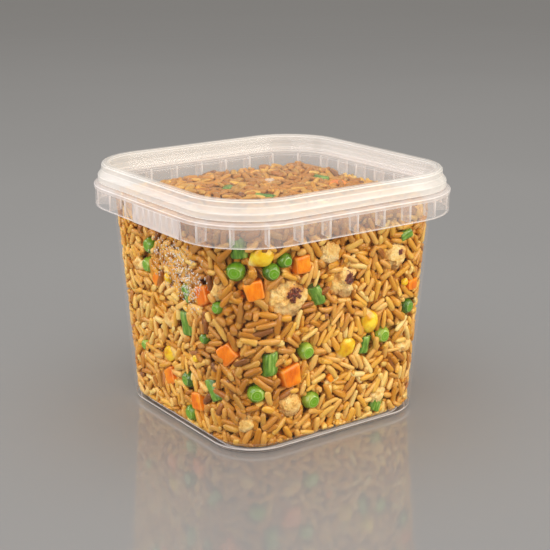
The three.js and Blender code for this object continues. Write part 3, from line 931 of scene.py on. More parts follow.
def build_peas():
    parts = Parts()
    for number, seat, middle, swell in seated("pea"):
        add_pea(parts, middle, seat["reach"].max() * swell, number)
    for index, along, up, radius in small_bits("pea"):
        add_pea(parts, on_wall(along, up, radius - 0.5)[0], radius, index + 20)
    return parts.piece("peas", pea_skin)


peas = build_peas()

# %% [markdown]
# The green beans are cut into short tubes. A tube of soft skin has a waxy, whitish sheen, and each
# cut end shows a paler, pulpy inside with a darker ring. The template is a ring of points carried
# along the bean, closed at both ends by rows that draw in to the middle.


# %% Green beans
def bean_finish():
    paint = Paint("bean_skin")
    place = paint.place(SAME_SCALE)
    patch = paint.noise(place, 300.0, 3.0)
    cut = paint.marked("cut")
    stripe = paint.noise(paint.marked("streak", "Vector"), 3.2, 2.0)
    skin = paint.ramp(
        (0.35 * patch + 0.65 * stripe).clamp(),
        [(0.34, (0.04, 0.12, 0.006)), (0.5, (0.13, 0.29, 0.018)), (0.66, (0.36, 0.52, 0.11))],
    )
    pulp = paint.ramp(patch, [(0.35, (0.15, 0.30, 0.06)), (0.7, (0.42, 0.52, 0.20))])
    colour = paint.blend(cut.rise(0.35, 0.7), skin, pulp)
    press = paint.marked("press")
    colour = paint.blend(press.rise(0.02, 0.4) * 0.3, colour, (0.20, 0.40, 0.07))
    sockets = {"Base Color": colour, "Roughness": 0.22 + 0.25 * patch}
    sockets["Coat Weight"] = 0.3
    sockets["Normal"] = paint.bump(paint.noise(place, 1100.0), 0.0001)
    return paint.show(paint.solid(sockets))


bean_skin = bean_finish()

# %% Build the beans
BEAN_ROWS = [
    # place along the bean, share of its full width
    (-1, 0.05), (-1, 0.45), (-1, 0.75), (-0.97, 0.93), (-0.9, 1.0), (-0.5, 1.03), (0, 0.98),
    (0.5, 1.03), (0.9, 1.0), (0.97, 0.93), (1, 0.75), (1, 0.45), (1, 0.05),
]
BEAN_SIDES = 24


def add_bean(parts, middle, axis, radius, length, seed):
    angles = round_angles(BEAN_SIDES)
    across = unit(np.cross(axis, (0.3, 0.5, 0.8)))
    other = np.cross(axis, across)
    points, cut, streaks = [], [], []
    for place, wide in BEAN_ROWS:
        lobes = 1 + 0.05 * np.cos(2 * angles + seed) + 0.03 * np.cos(3 * angles + 2 * seed)
        ring = np.cos(angles)[:, None] * across + 0.9 * np.sin(angles)[:, None] * other
        dip = -0.12 * radius * (wide < 0.6) * np.sign(place)
        skew = 0.14 * radius * np.cos(angles + seed) * (abs(place) > 0.85)
        away = place * length / 2 + dip + skew
        points.append(middle + ring * (lobes * wide * radius)[:, None] + away[:, None] * axis)
        cut.append(np.full(BEAN_SIDES, float(wide < 0.9)))
        along = np.full(BEAN_SIDES, 0.25 * place)
        streaks.append(np.stack([np.cos(angles) + 9 * seed, np.sin(angles), along], -1))
    points = np.concatenate(points)
    points += unit(points - middle) * (0.12 * bumps(points - middle, 0.7, seed))[:, None]
    points, press = pressed(points)
    marks = {"cut": np.concatenate(cut), "streak": np.concatenate(streaks), "press": press}
    parts.add(points, closed_tube(BEAN_SIDES, len(BEAN_ROWS)), **marks)


def build_beans():
    parts = Parts()
    for number, seat, middle, swell in seated("bean"):
        half_length, radius, _ = seat["reach"]
        add_bean(parts, middle, seat["axes"][0], radius * swell, 2 * half_length, number)
    for index, along, up, radius in small_bits("bean"):
        spot, _, side, above = on_wall(along, up, radius - 0.4)
        add_bean(parts, spot, laid(side, above, index), radius, radius * 2.6, index + 20)
    return parts.piece("beans", bean_skin)


beans = build_beans()

# %% [markdown]
# A kernel of sweetcorn is a plump wedge: broad and rounded at the crown, with a shallow dent, and
# drawn in to a pale tip where it sat on the cob. Its skin is tight and glossy, and its yellow
# deepens to gold in patches.


# %% Sweetcorn
def corn_finish():
    paint = Paint("corn_skin")
    patch = paint.noise(paint.place(SAME_SCALE), 260.0)
    tip = paint.marked("tip")
    skin = paint.ramp(
        patch,
        [(0.3, (0.68, 0.31, 0.003)), (0.48, (0.88, 0.53, 0.008)), (0.66, (0.97, 0.72, 0.05))],
    )
    colour = paint.blend(tip.rise(0.55, 0.95) * 0.7, skin, (0.85, 0.72, 0.38))
    sockets = {"Base Color": colour, "Roughness": 0.18 + 0.15 * patch}
    sockets |= soft(0.2, (1.0, 0.6, 0.1), 0.001)
    sockets["Normal"] = paint.bump(patch, 0.00015)
    return paint.show(paint.solid(sockets))


corn_skin = corn_finish()


# %% Build the sweetcorn
def add_corn(parts, middle, axes, reach, seed):
    """axes run across the kernel's length, width and thickness."""
    x, y, z = BALL_POINTS.T
    length = z * (1 - 0.12 * np.exp(-6 * (x**2 + y**2)) * (z > 0))
    taper = 1 - 0.42 * np.clip(-z, 0, 1) ** 1.5
    squared = 1 + 0.10 * (1 - np.abs(z)) * np.cos(4 * np.arctan2(y, x)) * -1
    local = np.stack([length * reach[0], y * taper * squared * reach[1], x * taper * reach[2]], -1)
    local *= (1 + 0.10 * bumps(BALL_POINTS, 1.0, seed))[:, None]
    parts.add(pressed(local @ axes + middle)[0], [BALL_FACES], tip=np.clip(-z, 0, 1))


def build_corn():
    parts = Parts()
    for number, seat, middle, swell in seated("corn"):
        add_corn(parts, middle, seat["axes"], seat["reach"] * swell, number)
    for index, along, up, radius in small_bits("corn"):
        spot, out, side, above = on_wall(along, up, radius * 0.6)
        long_axis = laid(side, above, 2 * index)
        axes = np.array([long_axis, np.cross(out, long_axis), out])
        add_corn(parts, spot, axes, radius * np.array([1.1, 0.9, 0.7]), index + 20)
    return parts.piece("sweetcorn", corn_skin)


corn = build_corn()

# %% [markdown]
# Diced carrot keeps crisp sides with edges only just softened by cooking. A cube with finely
# divided sides is drawn in at its edges by one formula, takes each CAD dice's size, and is slanted
# and roughened a little. Fine fibres run through the orange, the edges are paler, and the faces
# are moist.


# %% Carrot dice
def carrot_finish():
    paint = Paint("carrot_flesh")
    patch = paint.noise(paint.place(SAME_SCALE), 200.0)
    fibre = paint.noise(paint.place((1, 1, 0.25)), 1500.0, 3.0)
    edge = paint.marked("edge")
    flesh = paint.ramp(
        (0.7 * patch + 0.3 * fibre).clamp(),
        [(0.34, (0.70, 0.13, 0.001)), (0.5, (0.88, 0.22, 0.002)), (0.66, (0.97, 0.35, 0.010))],
    )
    colour = paint.blend(edge.rise(0.2, 0.9) * 0.45, flesh, (0.97, 0.44, 0.09))
    sockets = {"Base Color": colour, "Roughness": 0.2 + 0.25 * fibre}
    sockets["Specular IOR Level"] = 0.35
    sockets |= soft(0.15, (1.0, 0.35, 0.1), 0.001)
    sockets["Normal"] = paint.bump(fibre, 0.00012)
    return paint.show(paint.solid(sockets))


carrot_flesh = carrot_finish()


# %% Build the carrot dice
def cube_template(steps):
    """The surface of a cube from -1 to 1 as a welded grid."""
    made = bmesh.new()
    bmesh.ops.create_cube(made, size=2)
    bmesh.ops.subdivide_edges(made, edges=made.edges[:], cuts=steps - 1, use_grid_fill=True)
    made.verts.index_update()
    return arrays_of(made)


CUBE_POINTS, CUBE_FACES = cube_template(14)
SQUARENESS = 7.0


def add_carrot(parts, middle, axes, reach, seed):
    size = (np.abs(CUBE_POINTS) ** SQUARENESS).sum(1) ** (1 / SQUARENESS)
    local = CUBE_POINTS / size[:, None]
    edge = np.clip((size - 1.0) / 0.1, 0, 1)
    slant = np.array([0.10 * math.sin(seed * 2.1), 0.12 * math.cos(seed * 1.7)])
    local[:, 1] *= 1 + slant[0] * local[:, 2]
    local[:, 2] *= 1 + slant[1] * local[:, 1]
    local *= (1 + 0.035 * bumps(CUBE_POINTS, 1.4, seed))[:, None]
    parts.add(pressed((local * reach) @ axes + middle)[0], [CUBE_FACES], edge=edge)


# how far each dice, from carrot_1 to carrot_10, is turned on the wall, in radians
CARROT_TURNS = [0.25, 0.1, 0.2, 0.7, 0.4, 0.5, 0.2, 0.6, 0.3, 0.9]


def build_carrots():
    parts = Parts()
    for number, seat, middle, swell in seated("carrot"):
        out = seat["out"]
        above = np.array([1.0, 0, 0]) if out[2] > 0.5 else np.array([0, 0, 1.0])
        side = np.cross(above, out)
        first = laid(side, above, CARROT_TURNS[int(seat["name"].split("_")[1]) - 1])
        axes = np.array([out, first, np.cross(out, first)])
        spans = (seat["points"] - seat["middle"]) @ axes.T
        add_carrot(parts, middle, axes, np.abs(spans).max(0) * swell, number)
    for index, along, up, radius in small_bits("carrot"):
        spot, out, side, above = on_wall(along, up, radius * 0.7)
        first = laid(side, above, index)
        axes = np.array([out, first, np.cross(out, first)])
        add_carrot(parts, spot, axes, radius * np.array([0.8, 0.75, 1.1]), index + 20)
    return parts.piece("carrots", carrot_flesh)


carrots = build_carrots()

# %% [markdown]
# Fried chicken is torn, fibrous and crumbly: cream and gold, with dark red-brown char where it met
# the pan, and a painted shade that greys the underside. Each chunk keeps its CAD solid's lumps: the
# fine ball is cast onto the solid's own surface, then torn into plateaus and steps, and roughened at
# two finer scales.


# %% Chicken
def chicken_finish():
    paint = Paint("chicken_meat")
    place = paint.place(SAME_SCALE)
    broad = paint.noise(place, 170.0, 3.0)
    fine = paint.noise(place, 800.0, 4.0)
    crumb = paint.noise(place, 1800.0, 3.0)
    meat = paint.ramp(
        (0.6 * broad + 0.4 * fine).clamp(),
        [
            (0.34, (0.52, 0.23, 0.04)), (0.44, (0.80, 0.45, 0.11)),
            (0.54, (0.92, 0.62, 0.21)), (0.68, (0.98, 0.79, 0.40)),
        ],
    )
    # painted shade: points that face down are blended towards a greyer brown
    low = paint.marked("low")
    meat = paint.blend(low.rise(0.3, 0.9) * 0.4, meat, (0.45, 0.30, 0.17))
    spot = paint.marked("char")
    halo = (spot + 1.1 * (fine - 0.5)).rise(0.25, 0.65)
    meat = paint.blend(halo * 0.6, meat, (0.52, 0.15, 0.025))
    fleck = (0.55 * crumb + 0.45 * broad).rise(0.6, 0.66)
    meat = paint.blend(fleck * 0.5, meat, (0.45, 0.14, 0.03))
    char = (spot + 1.9 * (fine - 0.5)).rise(0.52, 0.68)
    burnt = paint.ramp(crumb, [(0.4, (0.03, 0.004, 0.004)), (0.65, (0.24, 0.03, 0.015))])
    colour = paint.blend(char * 0.95, meat, burnt)
    sockets = {"Base Color": colour, "Roughness": 0.5 - 0.25 * char + 0.15 * crumb}
    sockets |= soft(0.12, (1.0, 0.5, 0.25), 0.0012)
    sockets["Normal"] = paint.bump(fine + 0.5 * crumb, 0.0005)
    return paint.show(paint.solid(sockets))


chicken_meat = chicken_finish()


# %% Cast on a solid
def cast_on(name, directions, middle):
    """How far a node's surface lies from its middle in each direction."""
    node = nodes[name]
    origin = Vector(middle * MM)
    reach = []
    for direction in directions:
        hit, place, _, _ = node.ray_cast(origin, Vector(direction))
        reach.append((place - origin).length / MM if hit else 0.0)
    reach = np.array(reach)
    return np.where(reach > 0, reach, np.median(reach[reach > 0]))


rise = cast_on("chicken_1", [(0, 0, 1)], seats["chicken_1"]["middle"])
print("chicken_1 rises", rise.round(1), "mm above its middle")

# %% Burnt spots
CHAR_SPOTS = {
    "chicken_1": [(0.15, 0.25, 0.36), (-0.25, 0.2, 0.2), (0.0, -0.1, 0.22)],
    "chicken_2": [(0.2, 0.3, 0.34), (0.5, 0.1, 0.25)],
    "chicken_3": [(0.3, 0.4, 0.2)],
    "chicken_6": [(0.0, 0.2, 0.3)],
}


def char_on(name, directions, out):
    """1 in the middle of each burnt spot, by its place to the right of and above the chunk's face."""
    above = np.array([0, 0, 1.0])
    right = np.cross(above, out)
    face = np.stack([directions @ right, directions @ above], -1)
    front = directions @ out
    char = np.zeros(len(directions))
    for x, y, size in CHAR_SPOTS.get(name, ()):
        away = np.hypot(*(face - (x, y)).T) / size
        char = np.maximum(char, np.where(front > 0, np.clip(1.25 - 0.65 * away, 0, 1), 0))
    return char


print("chunks with char:", len(CHAR_SPOTS))


# %% Build the chicken
def add_chicken(parts, points, ball, char, seed, tear):
    directions, faces = ball
    rough = tear * np.tanh(4 * bumps(points, 0.2, seed, 2))
    rough += 0.55 * tear * bumps(points, 0.55, seed + 3, 3) + 0.2 * bumps(points, 1.6, seed + 5, 2)
    points = points + directions * rough[:, None]
    # how far a point faces down, for the painted shade on the underside
    low = np.clip(0.15 - directions[:, 2], 0, 1)
    parts.add(pressed(points)[0], [faces], char=char, low=low)


def build_chicken():
    parts = Parts()
    for number, seat, middle, swell in seated("chicken"):
        reach = cast_on(seat["name"], FINEST[0], seat["middle"]) * swell
        points = middle + FINEST[0] * reach[:, None]
        char = char_on(seat["name"], FINEST[0], seat["out"])
        add_chicken(parts, points, FINEST, char, number, 0.9)
    for index, along, up, radius in small_bits("chicken"):
        spot, out, side, above = on_wall(along, up, radius * 0.8)
        long_axis = laid(side, above, 1.7 * index)
        shape = FINE[0] + 0.35 * (FINE[0] @ long_axis)[:, None] * long_axis
        shape -= 0.25 * (FINE[0] @ out)[:, None] * out
        add_chicken(parts, spot + shape * radius, FINE, 0.0, index + 20, 0.7)
    return parts.piece("chicken", chicken_meat)


chicken = build_chicken()

# %% Put the toppings in place of their nodes
TOPPINGS = {"pea": peas, "bean": beans, "corn": corn, "carrot": carrots, "chicken": chicken}
for kind, piece in TOPPINGS.items():
    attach(piece, "root")
    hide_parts(*by_kind[kind])
print("toppings made:", *TOPPINGS)

# %% [markdown]
# One grain is a slim, slightly flattened spindle with blunt tips, about 8 mm long and 2.4 mm wide.
# It has 80 triangles, which smooth shading makes round. Every grain gets its own length, width,
# bend and slant. All of them are computed at once: the template's points are multiplied by each
# grain's sizes and axes in one array operation.

# %% The grain
GRAIN_ROWS = [(-0.92, 0.58), (-0.66, 0.9), (0.0, 1.0), (0.66, 0.88), (0.92, 0.54)]
GRAIN_SIDES = 8


def grain_template():
    angles = (np.arange(GRAIN_SIDES) + 0.5) / GRAIN_SIDES * 2 * math.pi
    ridges = 1 + 0.045 * np.cos(math.pi * np.arange(GRAIN_SIDES))
    points = [(0, 0, -1)]
    for place, wide in GRAIN_ROWS:
        sizes = wide * ridges
        points += [(math.cos(a) * size, math.sin(a) * size, place) for a, size in zip(angles, sizes)]
    points.append((0, 0, 1))
    column = np.arange(GRAIN_SIDES)
    after = (column + 1) % GRAIN_SIDES
    quads = tube_quads(GRAIN_SIDES, len(GRAIN_ROWS)) + 1
    last = 1 + (len(GRAIN_ROWS) - 1) * GRAIN_SIDES
    tip = len(points) - 1
    start = np.stack([np.zeros_like(column), after + 1, column + 1], -1)
    end = np.stack([np.full_like(column, tip), column + last, after + last], -1)
    return np.array(points, float), quads, np.concatenate([start, end])


GRAIN_POINTS, GRAIN_QUADS, GRAIN_TIPS = grain_template()
print("a grain has", 2 * len(GRAIN_QUADS) + len(GRAIN_TIPS), "triangles")

# %% [markdown]
# Grains can't be scattered blindly: real ones lie beside each other. So each layer keeps a map of
# the wall, unrolled flat, in cells of half a millimetre. A grain is thrown at a random place and
# angle, and stays if its own cells are still free. Later throws may overlap a little, and then lie
# deeper. The vegetables are stamped on the map first, and there no grain may lie.

# %% The map of a layer
CELL = 0.5
MAP_WIDTH = 352.0
FEWEST_CELLS, MOST_BLOCKED = 40, 0.1
DEEPER = 1.9
LATTICE = np.stack(
    np.meshgrid(np.linspace(-0.92, 0.92, 19), np.linspace(-0.8, 0.8, 5), indexing="ij"), -1
).reshape(-1, 2)


class LayerMap:
    """Which cells of a layer are taken by grains, and which are blocked by other food."""

    def __init__(self, width, height, wraps):
        self.width, self.height, self.wraps = width, height, wraps
        self.taken = np.zeros((int(height / CELL) + 1, int(width / CELL)), bool)
        self.blocked = self.taken.copy()

    def cells(self, x, y):
        columns = np.floor(x / CELL).astype(int)
        rows = np.floor(y / CELL).astype(int)
        if self.wraps:
            columns = columns % self.taken.shape[1]
        inside = (rows >= 0) & (rows < self.taken.shape[0])
        inside &= (columns >= 0) & (columns < self.taken.shape[1])
        return rows[inside], columns[inside]

    def stamp_disc(self, x, y, radius):
        steps = np.arange(-radius, radius + CELL / 2, CELL / 2)
        across, down = np.meshgrid(steps, steps)
        near = np.hypot(across, down) <= radius
        self.blocked[self.cells(x + across[near], y + down[near])] = True

    def throw(self, random, tries, size_of, angle_of, most_overlap, depth):
        """Grains that found room, as rows of x, y, angle, length, width, depth."""
        kept = []
        for _ in range(tries):
            x, y = random.random() * self.width, random.random() * self.height
            length, width = size_of(x, random)
            angle = angle_of(x, y, random)
            cos, sin = math.cos(angle), math.sin(angle)
            long, wide = LATTICE[:, 0] * length / 2, LATTICE[:, 1] * width / 2
            wide = wide * (1 - 0.55 * np.abs(LATTICE[:, 0]) ** 2)
            cells = self.cells(x + long * cos - wide * sin, y + long * sin + wide * cos)
            if len(cells[0]) < FEWEST_CELLS or self.blocked[cells].mean() > MOST_BLOCKED:
                continue
            overlap = self.taken[cells].mean()
            if overlap > most_overlap:
                continue
            self.taken[cells] = True
            kept.append((x, y, angle, length, width, depth + DEEPER * overlap))
        return kept


print("a grain is tried at", len(LATTICE), "points")


# %% Sizes and angles of grains
# the usual size in millimetres, and how much it varies
GRAIN_LENGTH, GRAIN_WIDTH = (7.7, 0.8), (2.42, 0.2)
BROKEN_SHARE = 0.2


def grain_size(x, random):
    """Length and width of a grain, which may be a broken one."""
    length = random.normal(*GRAIN_LENGTH)
    if random.random() < BROKEN_SHARE:
        length *= random.uniform(0.5, 0.8)
    return length, random.normal(*GRAIN_WIDTH)


def wall_grain_size(x, random):
    """Grains by the front corner are a little larger, as the rounded plastic there shows them."""
    larger = 1 + 0.12 * math.exp(-(((x / MAP_WIDTH - 0.125) * 24) ** 2))
    length, width = grain_size(x, random)
    return length * larger, width * larger


def swirl_angle(x, y, random):
    """Grains nearby tend to lie alike, with a good deal of scatter."""
    drift = 1.5 * math.sin(0.11 * x + 0.05 * y) + 1.2 * math.cos(0.13 * y - 0.04 * x)
    return drift + random.normal(0, 0.75)


print("a drift of angle at the middle:", round(swirl_angle(0, 0, np.random.default_rng(1)), 2))


# %% Toppings on the map
def unrolled(seat):
    """A node's points on the unrolled map, and its middle."""
    places = [(turn_of(point) * MAP_WIDTH, point[2] - FLOOR_TOP) for point in seat["points"]]
    middle = np.array([turn_of(seat["middle"]) * MAP_WIDTH, seat["middle"][2] - FLOOR_TOP])
    apart = np.array(places) - middle
    apart[:, 0] = (apart[:, 0] + MAP_WIDTH / 2) % MAP_WIDTH - MAP_WIDTH / 2
    return middle, apart


FILLED_SHARES = (0.25, 0.5, 0.75, 1.0)
SHADOWS = [unrolled(seat) for seat in seats.values() if seat["out"][2] < 0.5]


def stamp_toppings(layer, size):
    for middle, apart in SHADOWS:
        for share in FILLED_SHARES:
            for x, y in middle + share * size * apart:
                layer.stamp_disc(x, y, 1.0)
    for kind, along, up, radius in SMALL_BITS:
        turn = along / ring_length(wall_half(up), up)
        layer.stamp_disc(turn * MAP_WIDTH, up - FLOOR_TOP, radius * 0.8)


print("a layer's map has", int(MAP_WIDTH / CELL) * int(FOOD_TOP / CELL), "cells")

# %% [markdown]
# Three layers lie against the four walls, each deeper than the last, then two on the heaped top
# and one on the floor of the tub. Between them no daylight shows. Every throw comes from one
# seeded random generator, so the heap is the same each time.

# %% Fill the layers
# rounds of throws: how many, and how much of a grain may overlap
THOROUGH = [(9000, 0.03), (9000, 0.14), (9000, 0.32), (5000, 0.48)]


def fill_walls(random, depth, crowding, stamped):
    layer = LayerMap(MAP_WIDTH, FOOD_TOP - FLOOR_TOP, wraps=True)
    if stamped:
        stamp_toppings(layer, stamped)
    kept = []
    for tries, overlap in crowding:
        kept += layer.throw(random, tries, wall_grain_size, swirl_angle, overlap, depth)
    return np.array(kept)


def fill_flat(random, size, depth, crowding, spots):
    layer = LayerMap(size, size, wraps=False)
    for x, y, radius in spots:
        layer.stamp_disc(x + size / 2, y + size / 2, radius)
    kept = []
    for tries, overlap in crowding:
        kept += layer.throw(random, tries, grain_size, swirl_angle, overlap, depth)
    kept = np.array(kept)
    kept[:, :2] -= size / 2
    corner = half_of(np.column_stack([kept[:, :2], np.full(len(kept), 80.0)]))
    return kept[corner < size / 2]


print("a layer that shows is filled in", len(THOROUGH), "rounds")

# %% Throw the grains
random = np.random.default_rng(11)
walls = [
    fill_walls(random, 0.95, THOROUGH, 0.8),
    fill_walls(random, 2.4, [(7000, 0.1), (6000, 0.35)], 0.65),
    fill_walls(random, 4.0, [(6000, 0.1), (4000, 0.35)], 0),
]
TOPPING_ROOM = 3.0
lying = [seat for seat in seats.values() if seat["out"][2] > 0.5]
top_spots = [(*seat["middle"][:2], TOPPING_ROOM) for seat in lying]
tops = [
    fill_flat(random, 100.0, 0.9, [(4000, 0.03), (4000, 0.14), (4000, 0.32)], top_spots),
    fill_flat(random, 98.0, 2.4, [(4000, 0.1), (3000, 0.35)], ()),
]
under = fill_flat(random, 87.0, 1.0, [(4000, 0.05), (4000, 0.3)], ())
print("grains on the walls:", [len(layer) for layer in walls], "top:", [len(t) for t in tops])

# %% [markdown]
# Now each thrown grain becomes a body in space. Its place on the unrolled map turns into a point
# on the wall and three directions: round the tub, up the wall and straight out. A tilt lets some
# grains dip inwards, and a few stand end-on. Last, the wall presses flat whatever crosses it.


# %% From the map to space
def wall_frames(layer):
    room = FOOD_TOP - FLOOR_TOP - 0.45 * np.abs(np.sin(layer[:, 2])) * layer[:, 3]
    up = FLOOR_TOP + np.minimum(layer[:, 1], room)
    spot, out = ring_place(wall_half(up) - layer[:, 5], up, layer[:, 0] / MAP_WIDTH)
    side = np.stack([out[:, 1], -out[:, 0], np.zeros(len(out))], -1)
    lean = unit(out * 0.066 + (0, 0, 1))
    return spot, side, lean, np.cross(side, lean)


def level_frames(layer, up):
    spot = np.stack([layer[:, 0], layer[:, 1], up], -1)
    return spot, *(np.tile(axis, (len(layer), 1)) for axis in np.eye(3))


def top_frames(layer):
    return level_frames(layer, FOOD_TOP + swell_at(*layer[:, :2].T) - layer[:, 5])


def floor_frames(layer):
    return level_frames(layer, FLOOR_TOP + layer[:, 5])


print("frames for walls, top and floor")


# %% Slant the grains
# how far grains tilt and roll, in radians, how many stand end-on, and how far those tilt
TILT, GRAIN_ROLL, STANDING_SHARE, STANDING_TILT = 0.18, 0.5, 0.08, (0.8, 1.4)


def grain_axes(angle, side, lean, out, random, some_stand):
    """Each grain's own directions: across it, through its thickness and along it."""
    count = len(angle)
    tilt = random.normal(0, TILT, count)
    standing = random.random(count) < (STANDING_SHARE if some_stand else 0)
    tilt = np.where(standing, random.uniform(*STANDING_TILT, count), tilt)
    flat = np.cos(angle)[:, None] * side + np.sin(angle)[:, None] * lean
    long_axis = np.cos(tilt)[:, None] * flat + np.sin(tilt)[:, None] * out
    thick = -np.sin(tilt)[:, None] * flat + np.cos(tilt)[:, None] * out
    wide = np.cross(thick, long_axis)
    roll = random.normal(0, GRAIN_ROLL, count)
    cos, sin = np.cos(roll)[:, None], np.sin(roll)[:, None]
    return cos * wide + sin * thick, cos * thick - sin * wide, long_axis


print("share of grains that stand end-on:", STANDING_SHARE)


# %% Grow the grains
# how far grains bend, in millimetres, and how much their taper, thickness and surface vary
BEND, TAPER, PLUMPNESS, UNEVENNESS = 0.28, 0.10, 0.06, 0.05


def grow_grains(layer, frames, random, some_stand=True):
    """Every grain's points (grain, point, xyz), with its place on the grain for the finish."""
    spot, side, lean, out = frames(layer)
    count = len(layer)
    angle, length, width = layer[:, 2:5].T
    wide, thick, long_axis = grain_axes(angle, side, lean, out, random, some_stand)
    x, y, z = GRAIN_POINTS.T
    bend = random.normal(0, BEND, count)[:, None] * (1 - z**2)
    slim = 1 + random.normal(0, TAPER, count)[:, None] * z
    plump = random.normal(1.0, PLUMPNESS, count)[:, None] * slim
    wobble = 1 + UNEVENNESS * random.normal(0, 1, (count, len(z)))
    blunt = 1 + random.uniform(-0.12, 0.5, (count, 1)) * np.clip(np.abs(z) - 0.5, 0, 1) * 1.4
    local_x = x * slim * wobble * blunt * (width / 2)[:, None] + bend
    local_y = y * plump * wobble * blunt * (0.41 * width)[:, None] - 0.4 * bend
    local_z = z * (length / 2)[:, None] * np.ones((count, 1))
    points = (
        spot[:, None]
        + local_x[..., None] * wide[:, None]
        + local_y[..., None] * thick[:, None]
        + local_z[..., None] * long_axis[:, None]
    )
    seed = random.random(count)[:, None]
    streak = np.stack([
        x * np.ones((count, 1)) + 9 * seed,
        y * np.ones((count, 1)),
        0.35 * z + 31 * seed,
    ], -1)
    tips = np.abs(z) * np.ones((count, 1))
    return points, streak, tips


print("a grain bends by about", BEND, "mm")

# %% All the grains
groups = [grow_grains(layer, wall_frames, random) for layer in walls]
groups += [grow_grains(layer, top_frames, random, some_stand=False) for layer in tops]
groups.append(grow_grains(under, floor_frames, random))
grain_points, grain_streaks, grain_tips = (
    np.concatenate([group[part] for group in groups]) for part in range(3)
)
flat_points, _ = pressed(grain_points.reshape(-1, 3))
to_wall = wall_half(flat_points[:, 2]) - half_of(flat_points)
to_top = FOOD_TOP + swell_at(*flat_points[:, :2].T) - flat_points[:, 2]
grain_depth = np.minimum(np.minimum(to_wall, to_top), flat_points[:, 2] - FLOOR_TOP)
grain_depth = grain_depth.reshape(grain_points.shape[:2])
grain_points = flat_points.reshape(grain_points.shape)
print("grains in all:", len(grain_points))

# %% [markdown]
# Fried rice is never one colour. Soy and oil stain most grains gold, some stay pale, and a few
# brown in the pan. Each kind is a piece of its own with its own ramp of colours. Fine streaks run
# lengthwise, made by noise that reads the grain's own coordinates, so that they follow every bend.
# A grain of low tone is browner. Tone varies at random, is lower by the front corner, and is lowered
# on the top as painted shade. Between the grains the colour turns amber, partly sauce and partly a
# painted glow and shade for the light that soaks through and between the translucent grains, so
# each point keeps its depth behind the wall, and the deeper it lies, the more of that amber it
# takes. A little sheen stands for the moist film along the edges.


# %% Rice finishes
def rice_finish(name, stops):
    paint = Paint(name)
    streak = paint.noise(paint.marked("streak", "Vector"), 3.4, 2.5)
    fine = paint.noise(paint.place(SAME_SCALE), 1300.0)
    tone = paint.marked("tone")
    tip = paint.marked("tips")
    region = paint.noise(paint.place(SAME_SCALE), 45.0, 1.0)
    mixed = (0.55 * tone + 0.5 * streak + 0.12 * fine + 0.8 * region - 0.52).clamp()
    colour = paint.ramp(mixed, stops)
    colour = paint.blend(tip.rise(0.8, 1.0) * 0.25, colour, stops[-1][1])
    # low tone browns a grain: random for most grains, painted shade for those on the top
    colour = paint.blend((0.2 - tone).clamp() * 0.6, colour, (0.30, 0.115, 0.018))
    # partly sauce, partly painted glow and shade: the deeper a point lies, the more amber it takes
    sauce_and_gap_glow = paint.marked("deep").rise(0.3, 2.8)
    colour = paint.blend(sauce_and_gap_glow * 0.7, colour, (0.72, 0.30, 0.02))
    sockets = {"Base Color": colour, "Roughness": 0.27 + 0.22 * streak}
    sockets["Normal"] = paint.bump(streak + 0.3 * fine, 0.00022)
    sockets |= soft(0.16, (1.0, 0.55, 0.2), 0.0009)
    sockets |= {"Specular IOR Level": 0.35, "Coat Weight": 0.22, "Coat Roughness": 0.12}
    sockets |= {"Sheen Weight": 0.12, "Sheen Roughness": 0.35, "Sheen Tint": (1.0, 0.72, 0.36)}
    return paint.show(paint.solid(sockets))


print("streaks follow every bend")

# %% Kinds of rice
RICE_KINDS = {
    "rice_golden": (0.40, [
        (0.12, (0.56, 0.21, 0.010)), (0.40, (0.73, 0.34, 0.028)),
        (0.66, (0.83, 0.45, 0.060)), (0.92, (0.90, 0.58, 0.14)),
    ]),
    "rice_peach": (0.34, [
        (0.12, (0.63, 0.27, 0.035)), (0.40, (0.78, 0.41, 0.080)),
        (0.66, (0.86, 0.51, 0.13)), (0.92, (0.92, 0.64, 0.24)),
    ]),
    "rice_pale": (0.19, [
        (0.12, (0.72, 0.38, 0.06)), (0.40, (0.84, 0.52, 0.11)),
        (0.66, (0.90, 0.63, 0.20)), (0.92, (0.95, 0.75, 0.34)),
    ]),
    "rice_browned": (0.07, [
        (0.10, (0.20, 0.06, 0.012)), (0.34, (0.44, 0.15, 0.015)),
        (0.60, (0.63, 0.27, 0.03)), (0.92, (0.78, 0.43, 0.08)),
    ]),
}
print("kinds of rice:", *RICE_KINDS)


# %% Build the rice
# grains by the front corner are darker, and grains on top are darkened as painted shade
CORNER_AT, CORNER_SPREAD, CORNER_DARKER = 44, 19, 0.9
TOP_DEPTH, TOP_PAINTED_SHADE = 3, 0.75


def build_rice(random):
    count = len(grain_points)
    tone = random.random(count)
    drawn = random.random(count)
    from_corner = np.hypot(*(grain_points[:, 0, :2] + CORNER_AT).T)
    tone -= CORNER_DARKER * np.exp(-((from_corner / CORNER_SPREAD) ** 2))
    # painted shade: the grains on top get a lower tone
    tone -= TOP_PAINTED_SHADE * (grain_points[:, 0, 2] > FOOD_TOP - TOP_DEPTH)
    pieces = []
    start = 0.0
    for name, (share, stops) in RICE_KINDS.items():
        chosen = np.flatnonzero((drawn >= start) & (drawn < start + share))
        start += share
        size = len(GRAIN_POINTS)
        shift = np.arange(len(chosen))[:, None, None] * size
        quads = (GRAIN_QUADS[None] + shift).reshape(-1, 4)
        tips = (GRAIN_TIPS[None] + shift).reshape(-1, 3)
        marks = {
            "tone": np.repeat(tone[chosen], size),
            "tips": grain_tips[chosen].ravel(),
            "deep": grain_depth[chosen].ravel(),
            "streak": grain_streaks[chosen].reshape(-1, 3),
        }
        points = grain_points[chosen].reshape(-1, 3)
        finish = rice_finish(name, stops)
        pieces.append(new_piece(name, points, [quads, tips], finish, **marks))
    return pieces


rice_pieces = build_rice(random)

